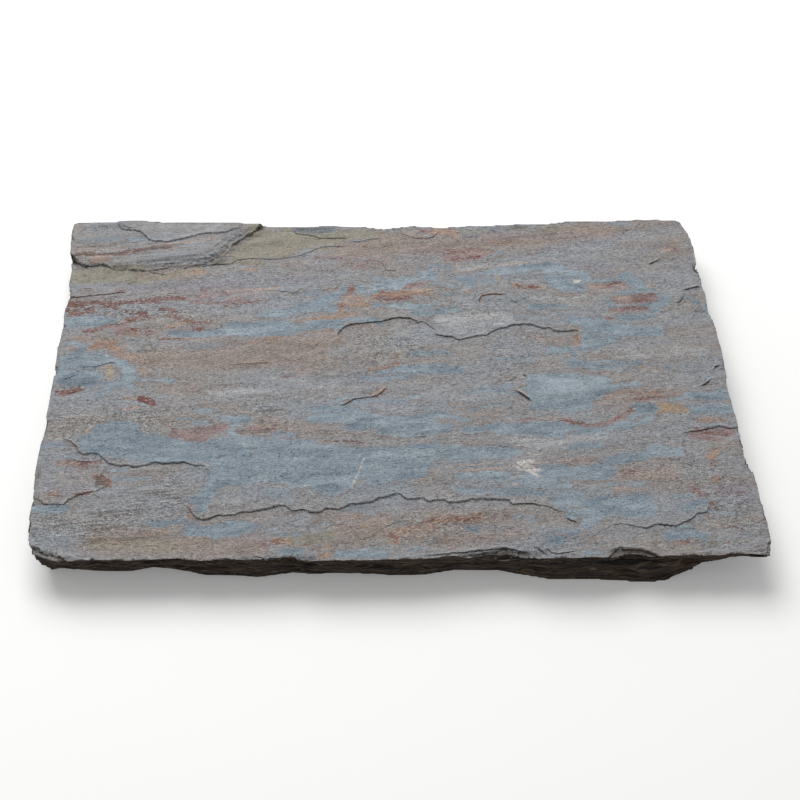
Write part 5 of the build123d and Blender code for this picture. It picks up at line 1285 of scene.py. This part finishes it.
    # broken edges: dark and brown, with paler strata; the darkest is partly painted shade and the palest partly
    # painted highlights; chips and the steps of the face are greyer
    strata = addNode(tree, ramp, {"Value": grain["strata"], **limits["strata"]})
    edgeShown = addNode(tree, mix, {0: strata, 6: colour["edgeDark"], 7: colour["edgeMid"]}, **rgba)
    paler = addNode(tree, ramp, {"Value": grain["strataFine"], **limits["strataPale"]})
    edgeShown = addNode(tree, mix, {0: paler, 6: edgeShown, 7: colour["edgeLight"]}, **rgba)
    for name, hexColour, amount in slate["bare"]:
        mask = addNode(tree, attribute, out="Fac", attribute_name=name)
        mask = addNode(tree, maths, {0: mask, 1: amount}, operation="MULTIPLY")
        shown = addNode(tree, mix, {0: mask, 6: shown, 7: linearColour(hexColour)}, **rgba)
    scarp = addNode(tree, attribute, out="Fac", attribute_name="scarp")
    scarp = addNode(tree, maths, {0: scarp, 1: slate["scarp"]}, operation="MULTIPLY")
    edge = addNode(tree, attribute, out="Fac", attribute_name="edge")
    edge = addNode(tree, maths, {0: grain["fleck"], 1: shares["edge"], 2: edge}, operation="MULTIPLY_ADD")
    edge = addNode(tree, ramp, {"Value": edge, **limits["edge"]}, **smooth)
    for mask in (scarp, edge):
        shown = addNode(tree, mix, {0: mask, 6: shown, 7: edgeShown}, **rgba)

    # grain for the light to catch
    faceBump = 0.0
    for name, amount in slate["faceBump"].items():
        faceBump = addNode(tree, maths, {0: grain[name], 1: amount, 2: faceBump}, operation="MULTIPLY_ADD")
    edgeBump = faceBump
    for name, amount in slate["edgeBump"].items():
        edgeBump = addNode(tree, maths, {0: grain[name], 1: amount, 2: edgeBump}, operation="MULTIPLY_ADD")
    bumpHeight = addNode(tree, mix, {0: edge, 2: faceBump, 3: edgeBump}, data_type="FLOAT")
    normal = addNode(tree, "ShaderNodeBump", {"Strength": 1.0, "Distance": slate["bump"] * mm, "Height": bumpHeight})
    rough = {0: grain["grit"], 1: shares["rough"], 2: slate["roughness"]}
    rough = addNode(tree, maths, rough, operation="MULTIPLY_ADD")
    rough = addNode(tree, maths, {0: factors["redSpot"], 1: -slate["redSmooth"], 2: rough}, operation="MULTIPLY_ADD")
    surface = addNode(tree, "ShaderNodeBsdfPrincipled", {
        "Base Color": shown, "Roughness": rough, "Normal": normal, "IOR": slate["ior"],
        "Specular IOR Level": slate["specular"],
    })
    addNode(tree, "ShaderNodeOutputMaterial", {"Surface": surface})
    return material


stone = remeshedCopy(slab["node"], "riven_slab")
workRelief(stone)
notUnder = planPoints(stone.data)[:, 2] > relief["underTop"]
upperTriangles = np.count_nonzero(notUnder) * 2
decimated(stone, upperTriangles + relief["underTriangles"], notUnder)
decimated(stone, relief["triangles"], nearLines(planPoints(stone.data)))
keepInBox(stone.data)
stone.data.shade_smooth()
stone.data.set_sharp_from_angle(angle=math.radians(relief["sharpDegrees"]))
for paint in (paintStainsAndShade, paintEdges, paintLedges):
    paint(stone.data, planPoints(stone.data), vertexNormals(stone.data)[:, 2])
stone.data.materials.clear()
stone.data.materials.append(rivenSlate())
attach(stone, "root")
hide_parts(slab["node"])
print("stone made")


# Studio: a pale floor, a broad soft light from above and behind, and a dim even sky

studio = {
    "floor": "#fbfbfa",
    "floorBounce": "#8c8c8c",  # the floor as it lights the stone from below
    "floorGlow": 0.16,  # what makes the floor white to the camera alone
    "floorSize": 8.0,
    "sky": 0.33,
    "lightPlace": (-0.55, 1.25, 2.1),
    "lightSize": 1.9,
    "lightPower": 52.0,
}


def seenByCamera(tree):
    # 1 for what the camera sees, also in a gloss or through a glass
    camera = addNode(tree, "ShaderNodeLightPath", out="Is Camera Ray")
    seen = camera
    for name in ("Is Glossy Ray", "Is Transmission Ray"):
        seen = addNode(tree, "ShaderNodeMath", {0: seen, 1: camera.node.outputs[name]}, operation="MAXIMUM")
    return seen


def studioFloor():
    work = bmesh.new()
    bmesh.ops.create_grid(work, x_segments=1, y_segments=1, size=studio["floorSize"] / 2)
    floor = objectFrom(work, "floor")
    material = bpy.data.materials.new("paintedFloor")
    material.use_nodes = True
    tree = material.node_tree
    tree.nodes.clear()
    seen = seenByCamera(tree)
    colour = addNode(tree, "ShaderNodeMix", {
        0: seen, 6: linearColour(studio["floorBounce"]), 7: linearColour(studio["floor"]),
    }, out=2, data_type="RGBA")
    lit = addNode(tree, "ShaderNodeBsdfDiffuse", {"Color": colour})
    strength = addNode(tree, "ShaderNodeMath", {0: seen, 1: studio["floorGlow"]}, operation="MULTIPLY")
    glow = addNode(tree, "ShaderNodeEmission", {"Strength": strength})
    surface = addNode(tree, "ShaderNodeAddShader", {0: lit, 1: glow})
    addNode(tree, "ShaderNodeOutputMaterial", {"Surface": surface})
    floor.data.materials.append(material)


def studioLight():
    world = bpy.data.worlds.new("sky")
    bpy.context.scene.world = world
    world.use_nodes = True
    tree = world.node_tree
    tree.nodes.clear()
    strength = addNode(tree, "ShaderNodeMix", {0: seenByCamera(tree), 2: studio["sky"], 3: 1.0}, data_type="FLOAT")
    sky = addNode(tree, "ShaderNodeBackground", {"Color": (1, 1, 1, 1), "Strength": strength})
    addNode(tree, "ShaderNodeOutputWorld", {"Surface": sky})
    light = newObject("softLight", bpy.data.lights.new("softLight", "AREA"))
    light.data.shape = "SQUARE"
    light.data.size = studio["lightSize"]
    light.data.energy = studio["lightPower"]
    light.location = studio["lightPlace"]
    light.rotation_euler = (-Vector(studio["lightPlace"])).to_track_quat("-Z", "Y").to_euler()


studioFloor()
studioLight()
bpy.context.scene.view_settings.view_transform = "Standard"
print("studio lit")
